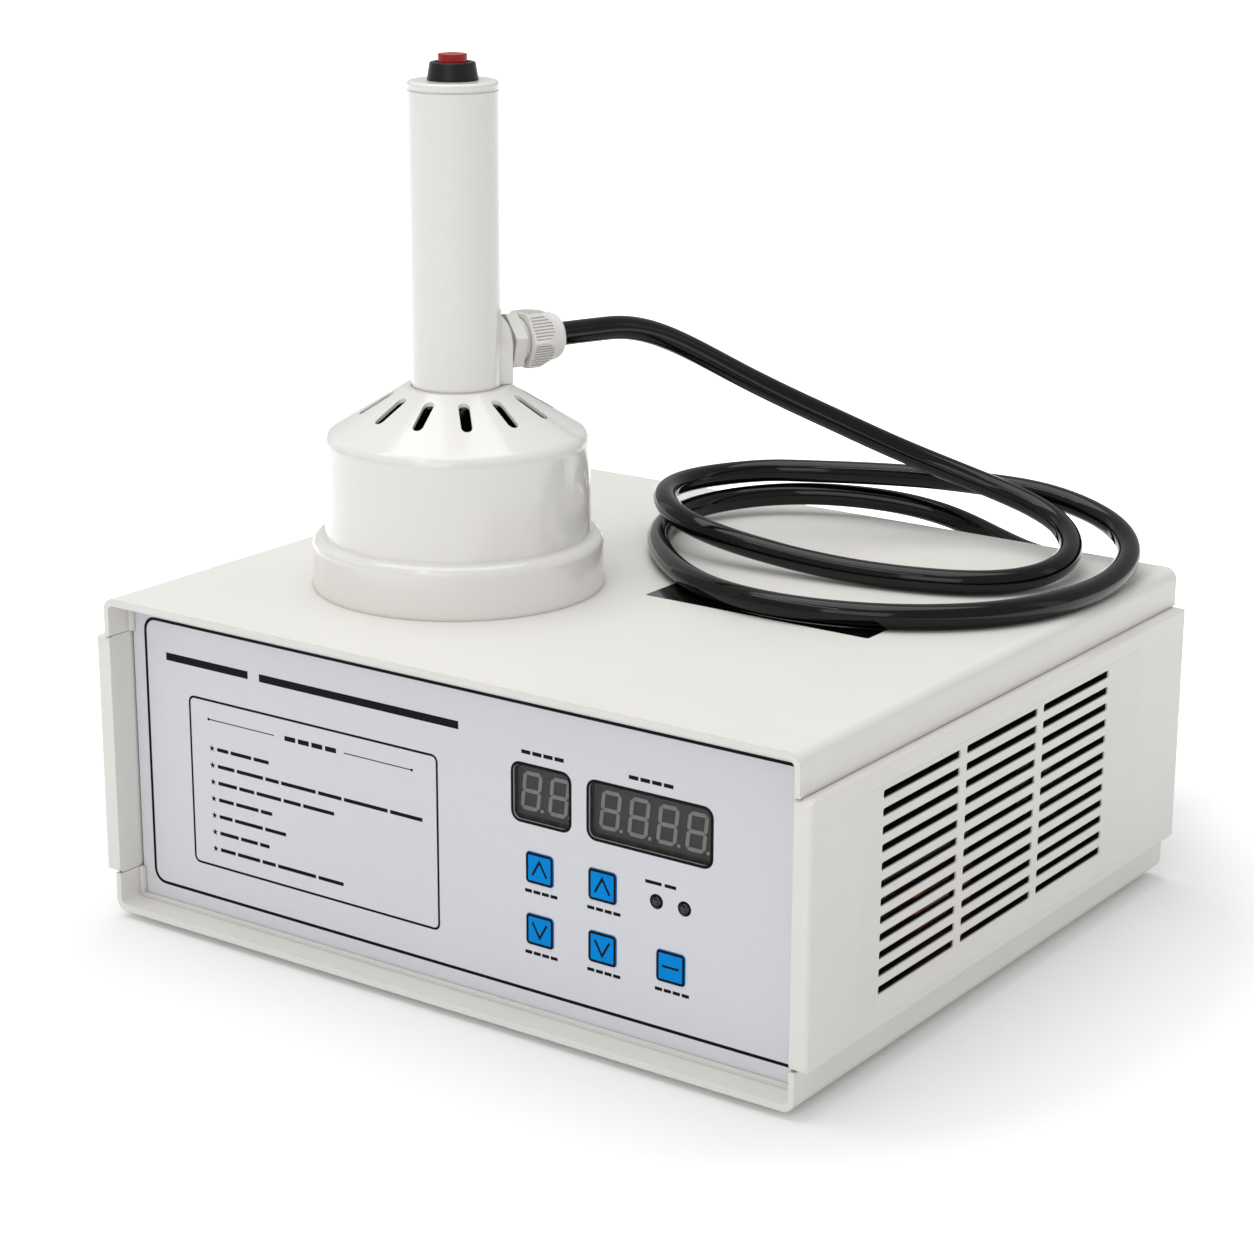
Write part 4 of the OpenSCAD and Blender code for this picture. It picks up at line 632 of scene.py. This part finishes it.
def print_panel(finishes):
    """Border, rules, bars and rings: every word's place holds a plain bar."""
    ink = Print(FACE_Y)
    ink.frame(*BORDER, BORDER_ROUND, BORDER_WIDTH)
    notice_left = -132.5 * MM
    notice_right = -4.2 * MM
    notice_top = PANEL_MID + 29 * MM
    notice_bottom = PANEL_MID - 42.6 * MM
    ink.frame(notice_left, notice_bottom, notice_right, notice_top, NOTICE_ROUND, NOTICE_WIDTH)
    heading_z = notice_top - 8.5 * MM
    rules = ((notice_left + 10.5 * MM, notice_left + 45.5 * MM),
             (notice_right - 12.8 * MM, notice_right - 46.6 * MM))
    for outer_end, inner_end in rules:
        ink.line(outer_end, heading_z, inner_end, heading_z, RULE_WIDTH)
        ink.fill(ring_outline(outer_end, heading_z, RULE_DOT, 12))
    bars(ink, notice_left + 51 * MM, heading_z, [5.6 * MM] * 4, 1.4 * MM, 2 * MM)
    for i, widths in enumerate(NOTICE_ROWS):
        z = notice_top - (20.6 + 7.15 * i) * MM
        ink.star(notice_left + 11.8 * MM, z, 1.5 * MM)
        bars(ink, notice_left + 14.6 * MM, z, [w * MM for w in widths], 1.3 * MM, 1.5 * MM)
    bars(ink, TITLE_LEFT, TITLE_Z, (44 * MM, 100 * MM), 6 * MM, 3.2 * MM)
    for x, width in zip(WINDOW_CENTRES, WINDOW_WIDTHS):
        half_w = width / 2 + WINDOW_EDGE
        half_h = WINDOW_HEIGHT / 2 + WINDOW_EDGE
        ink.frame(x - half_w, WINDOW_Z - half_h, x + half_w, WINDOW_Z + half_h,
                  WINDOW_ROUND + WINDOW_EDGE, WINDOW_EDGE)
        bars(ink, x - 9 * MM, WINDOW_Z + half_h + 4.2 * MM, [4.2 * MM] * 4, 0.9 * MM, 1.5 * MM)
    for x in LAMP_CENTRES:
        ink.circle(x, LAMP_Z, LAMP_RADIUS + 0.45 * MM, 0.6 * MM)
    bars(ink, LAMP_CENTRES[0] - 5 * MM, LAMP_Z + 7 * MM, [7.2 * MM, 5 * MM], 1.4 * MM, 1.3 * MM)
    for name in KEYS:
        low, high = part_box(name)
        middle = (low[0] + high[0]) / 2
        base = (low[2] + high[2]) / 2 - 9.6 * MM
        bars(ink, middle - 7 * MM, base, [3.2 * MM] * 4, 0.75 * MM, 1.3 * MM)
    ink.build("panel_print", finishes["ink"], "case")


KEY_PRINT = (12.4 * MM, 12.2 * MM)
KEY_ROUND = 1.5 * MM
KEY_RIM = 1 * MM
KEY_LINE = 0.9 * MM
KEY_BAR_HALF = 3.7 * MM
ARROW_ARM = Vector((3.3 * MM, 0))
ARROW_RISE = Vector((0, 2.9 * MM))


def print_keys(finishes):
    """A dark rim and an arrow or a bar on each key."""
    half_w, half_h = (size / 2 for size in KEY_PRINT)
    for name, sign in KEYS.items():
        low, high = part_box(name)
        middle = Vector(((low[0] + high[0]) / 2, (low[2] + high[2]) / 2))
        ink = Print(low[1])
        x, z = middle
        ink.frame(x - half_w, z - half_h, x + half_w, z + half_h, KEY_ROUND, KEY_RIM)
        if sign == "bar":
            ink.line(x - KEY_BAR_HALF, z, x + KEY_BAR_HALF, z, KEY_LINE)
        else:
            up = ARROW_RISE if sign == "up" else -ARROW_RISE
            ink.bend(middle - ARROW_ARM - up, middle + up, middle + ARROW_ARM - up, KEY_LINE)
        ink.build(name + "_print", finishes["ink"], name)


# Digits

DIGIT_PITCH = 12.7 * MM
DIGIT_HEIGHT = 15.4 * MM
DIGIT_WIDTH = 8.8 * MM
DIGIT_SLANT = 0.11
SEGMENT = 1.55 * MM
SEGMENT_GAP = 0.12 * MM
SEGMENT_RISE = 0.08 * MM
POINT_OFFSET = 1.2 * MM
POINT_RADIUS = 0.75 * MM


def add_segment(ink, x, z, start, end):
    """One pointed bar of a digit, leaning with it."""
    a = Vector(start)
    b = Vector(end)
    along = (b - a).normalized()
    side = Vector((-along.y, along.x)) * SEGMENT / 2
    a += along * SEGMENT_GAP
    b -= along * SEGMENT_GAP
    inset = along * SEGMENT / 2
    flat = [a, a + inset - side, b - inset - side, b, b - inset + side, a + inset + side]
    ink.fill([(x + p.x + DIGIT_SLANT * p.y, z + p.y) for p in flat])


def add_digit(ink, x, z):
    """An eight in seven bars, and its point."""
    w = (DIGIT_WIDTH - SEGMENT) / 2
    h = (DIGIT_HEIGHT - SEGMENT) / 2
    for level in (-h, 0, h):
        add_segment(ink, x, z, (-w, level), (w, level))
    for side in (-w, w):
        add_segment(ink, x, z, (side, -h), (side, 0))
        add_segment(ink, x, z, (side, 0), (side, h))
    dot = (x + DIGIT_WIDTH / 2 + POINT_OFFSET - DIGIT_SLANT * h, z - h)
    ink.fill(ring_outline(*dot, POINT_RADIUS, 20))


def make_digits(finishes):
    """The segments of both modules, unlit, on the modules' faces."""
    for name, x, count in zip(("time_display", "power_display"), WINDOW_CENTRES, (2, 4)):
        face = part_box(name)[0][1]
        ink = Print(face, SEGMENT_RISE)
        for i in range(count):
            add_digit(ink, x + (i - (count - 1) / 2) * DIGIT_PITCH, WINDOW_Z)
        ink.build(name + "_segments", finishes["segment"], "case")


# Screws on the rear panel

SCREW_STEPS = 40
# Shares of the head's height: its straight edge, the dome's middle and fall, and the recess
SCREW_EDGE = 0.35
DOME_PEAK = 0.98
DOME_FALL = 0.3
RECESS_DEPTH = 0.55
# Shares of the head's radius: half the recess's width, and the rings that carry it
RECESS_HALF = 0.13
RECESS_RINGS = (0.52, 0.4, 0.28, 0.16)
DOME_TURNS = (20, 40, 55)
FAN_SCREW_INSET = 4.25 * MM
FAN_SCREW_GRIP = 3.5 * MM
FAN_SCREW_RADIUS = 2 * MM
FAN_SCREW_HEAD = (3.8 * MM, 2.6 * MM)
INLET_SCREW_OFFSET = 20 * MM
INLET_SCREW_SHAFT = (1.5 * MM, 8 * MM)
INLET_SCREW_HEAD = (2.8 * MM, 1.8 * MM)


def add_screw(points, faces, head, shaft_r, shaft_l, head_r, head_h):
    """A domed screw along -Y from its head, with a cross recess in the dome."""
    steps = SCREW_STEPS

    def ring(radius, y, cross=0.0):
        first = len(points)
        for i in range(steps):
            angle = 2 * math.pi * i / steps
            c, s = math.cos(angle), math.sin(angle)
            near = min(abs(c), abs(s)) * radius
            dip = cross if near < RECESS_HALF * head_r else 0
            points.append((head[0] + radius * c, head[1] + y - dip, head[2] + radius * s))
        return first

    edge = head_h * SCREW_EDGE
    rows = [ring(shaft_r, -shaft_l), ring(shaft_r, 0), ring(head_r, 0), ring(head_r, edge)]
    rows += [ring(head_r * math.cos(a), head_h * (SCREW_EDGE + (1 - SCREW_EDGE) * math.sin(a)))
             for a in (math.radians(d) for d in DOME_TURNS)]
    rows += [ring(head_r * share, head_h * (DOME_PEAK - DOME_FALL * share ** 2), head_h * RECESS_DEPTH)
             for share in RECESS_RINGS]
    for low, high in zip(rows, rows[1:]):
        for i in range(steps):
            j = (i + 1) % steps
            faces.append([low + i, low + j, high + j, high + i][::-1])
    faces.append([rows[0] + i for i in range(steps)])
    faces.append([rows[-1] + i for i in reversed(range(steps))])


def make_panel_screws(finishes):
    """Four screws hold the fan and its guard, and two hold the mains inlet."""
    points = []
    faces = []
    fan_low, fan_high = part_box("fan_frame")
    inset = FAN_SCREW_INSET
    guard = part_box("fan_guard")[1][1]
    shaft = guard - fan_high[1] + FAN_SCREW_GRIP
    for x in (fan_low[0] + inset, fan_high[0] - inset):
        for z in (fan_low[2] + inset, fan_high[2] - inset):
            add_screw(points, faces, (x, guard, z), FAN_SCREW_RADIUS, shaft, *FAN_SCREW_HEAD)
    low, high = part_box("power_inlet")
    middle = ((low[0] + high[0]) / 2, (low[2] + high[2]) / 2)
    for side in (-INLET_SCREW_OFFSET, INLET_SCREW_OFFSET):
        head = (middle[0] + side, high[1], middle[1])
        add_screw(points, faces, head, *INLET_SCREW_SHAFT, *INLET_SCREW_HEAD)
    screws = add_mesh("cross_head_screws", points, faces, finishes["steel"], "case")
    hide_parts("panel_screws")


# Marks on the mains switch

# The rocker's pivot as y and z, its tilt at rest, and its thickness at the dip and the tips
ROCKER_PIVOT = (135.5 * MM, 88 * MM)
ROCKER_TILT = 12
ROCKER_DIP = 1.6 * MM
ROCKER_TIP = 4 * MM
ROCKER_ARM = 12 * MM
MARK_RISE = 0.08 * MM
MARK_SINK = 0.1 * MM


def mark_rocker(finishes):
    """A bar and a ring, raised a hair from the two halves of the rocker."""
    low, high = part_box("switch_rocker")
    x = (low[0] + high[0]) / 2
    pivot = Vector((x, *ROCKER_PIVOT))
    tilt = Matrix.Rotation(math.radians(ROCKER_TILT), 4, "X")
    lean = math.atan2(ROCKER_TIP - ROCKER_DIP, ROCKER_ARM)
    points = []
    faces = []

    def put(outline, inner, half):
        """A flat ring between two outlines, on the upper half (1) or the lower half (-1)."""
        middle = Vector((0, (ROCKER_DIP + ROCKER_TIP) / 2, half * ROCKER_ARM / 2))
        face = Matrix.Rotation(half * lean, 4, "X")
        first = len(points)
        n = len(outline)
        for depth in (MARK_RISE, -MARK_SINK):
            for row in (outline, inner):
                for u, v in row:
                    local = middle + face @ Vector((u, depth, v))
                    points.append(tuple(pivot + tilt @ local))
        for i in range(n):
            j = (i + 1) % n
            quads = ((0, 1, 1, 0), (2, 3, 3, 2))
            for k, (a, b, c, d) in enumerate(quads):
                quad = [first + a * n + i, first + b * n + i, first + c * n + j, first + d * n + j]
                faces.append(quad if k == 0 else quad[::-1])
            faces.append([first + i, first + j, first + 2 * n + j, first + 2 * n + i])
            faces.append([first + n + j, first + n + i, first + 3 * n + i, first + 3 * n + j])

    put(ring_outline(0, 0, 2.2 * MM), ring_outline(0, 0, 1.6 * MM), -1)
    bar = rounded_box(-0.4 * MM, -2.2 * MM, 0.4 * MM, 2.2 * MM, 0.3 * MM)
    core = rounded_box(-0.05 * MM, -1.9 * MM, 0.05 * MM, 1.9 * MM, 0.04 * MM)
    put(bar, core, 1)
    add_mesh("rocker_marks", points, faces, finishes["mark"], "switch_rocker")


# Floor and light

FLOOR_REACH = 9
FLOOR_SHADE = 0.93
FLOOR_ROUGHNESS = 0.9
FLOOR_SHINE = 0.1
# The floor's own light, near the object and far from it, and the distances where it starts and ends to rise
GLOW_STRENGTH = (0.08, 1)
GLOW_DISTANCE = (0.24, 0.6)
LAMP_TARGET = Vector((0, 0, 0.12))
# Name, place, width, height and watts
LAMPS = (
    ("top_light", (-0.25, 0.05, 1.7), 1.4, 1.4, 14),
    ("left_light", (-1.9, 0.23, 0.8), 0.45, 1.4, 0.8),
    ("front_light", (0.6, -2.3, 1.4), 1.4, 1.4, 11),
    ("strip_light", (-0.5, -0.9, 1.6), 1.3, 0.04, 2.6),
    ("right_light", (1.7, 0.8, 0.8), 0.4, 1.4, 0.9))
WORLD_STRENGTH = 0.52


def make_floor():
    """A pale floor that keeps the object's shadow and looks white to the camera."""
    reach = FLOOR_REACH
    mesh = bpy.data.meshes.new("floor")
    corners = [(-reach, -reach, 0), (reach, -reach, 0), (reach, reach, 0), (-reach, reach, 0)]
    mesh.from_pydata(corners, [], [(0, 1, 2, 3)])
    finish = bpy.data.materials.new("floor_paper")
    finish.use_nodes = True
    tree = finish.node_tree
    shader = tree.nodes["Principled BSDF"]
    shader.inputs["Base Color"].default_value = (FLOOR_SHADE, FLOOR_SHADE, FLOOR_SHADE, 1)
    shader.inputs["Roughness"].default_value = FLOOR_ROUGHNESS
    shader.inputs["Specular IOR Level"].default_value = FLOOR_SHINE
    seen = tree.nodes.new("ShaderNodeLightPath")
    direct = arithmetic(tree, "MAXIMUM", seen.outputs["Is Camera Ray"], seen.outputs["Is Glossy Ray"])
    either = arithmetic(tree, "MAXIMUM", direct, seen.outputs["Is Transmission Ray"])
    place = tree.nodes.new("ShaderNodeTexCoord")
    away = tree.nodes.new("ShaderNodeVectorMath")
    away.operation = "LENGTH"
    tree.links.new(place.outputs["Object"], away.inputs[0])
    fade = remap(tree, away.outputs["Value"], *GLOW_STRENGTH, *GLOW_DISTANCE)
    glow = arithmetic(tree, "MULTIPLY", either, fade)
    shader.inputs["Emission Color"].default_value = (*WHITE, 1)
    tree.links.new(glow, shader.inputs["Emission Strength"])
    mesh.materials.append(finish)
    floor = bpy.data.objects.new("floor", mesh)
    bpy.context.scene.collection.objects.link(floor)


def add_lamp(name, place, width, height, watts):
    """A white lamp of two sides that faces the object."""
    data = bpy.data.lights.new(name, "AREA")
    data.shape = "RECTANGLE"
    data.size = width
    data.size_y = height
    data.energy = watts
    data.color = WHITE
    lamp = bpy.data.objects.new(name, data)
    lamp.location = place
    aim = LAMP_TARGET - Vector(place)
    lamp.rotation_euler = aim.to_track_quat("-Z", "Y").to_euler()
    bpy.context.scene.collection.objects.link(lamp)


def make_lights():
    """Large soft lamps above and in front, weaker ones at the sides, and an even white world."""
    for lamp in LAMPS:
        add_lamp(*lamp)
    world = bpy.data.worlds.new("studio")
    world.use_nodes = True
    back = world.node_tree.nodes["Background"]
    back.inputs["Color"].default_value = (*WHITE, 1)
    back.inputs["Strength"].default_value = WORLD_STRENGTH
    bpy.context.scene.world = world


make_camera()
FINISHES = make_finishes()
make_cable(FINISHES)
make_spring(FINISHES)
dress_nodes(FINISHES)
print_panel(FINISHES)
print_keys(FINISHES)
make_digits(FINISHES)
make_panel_screws(FINISHES)
mark_rocker(FINISHES)
make_floor()
make_lights()
bpy.context.scene.view_settings.view_transform = "Standard"
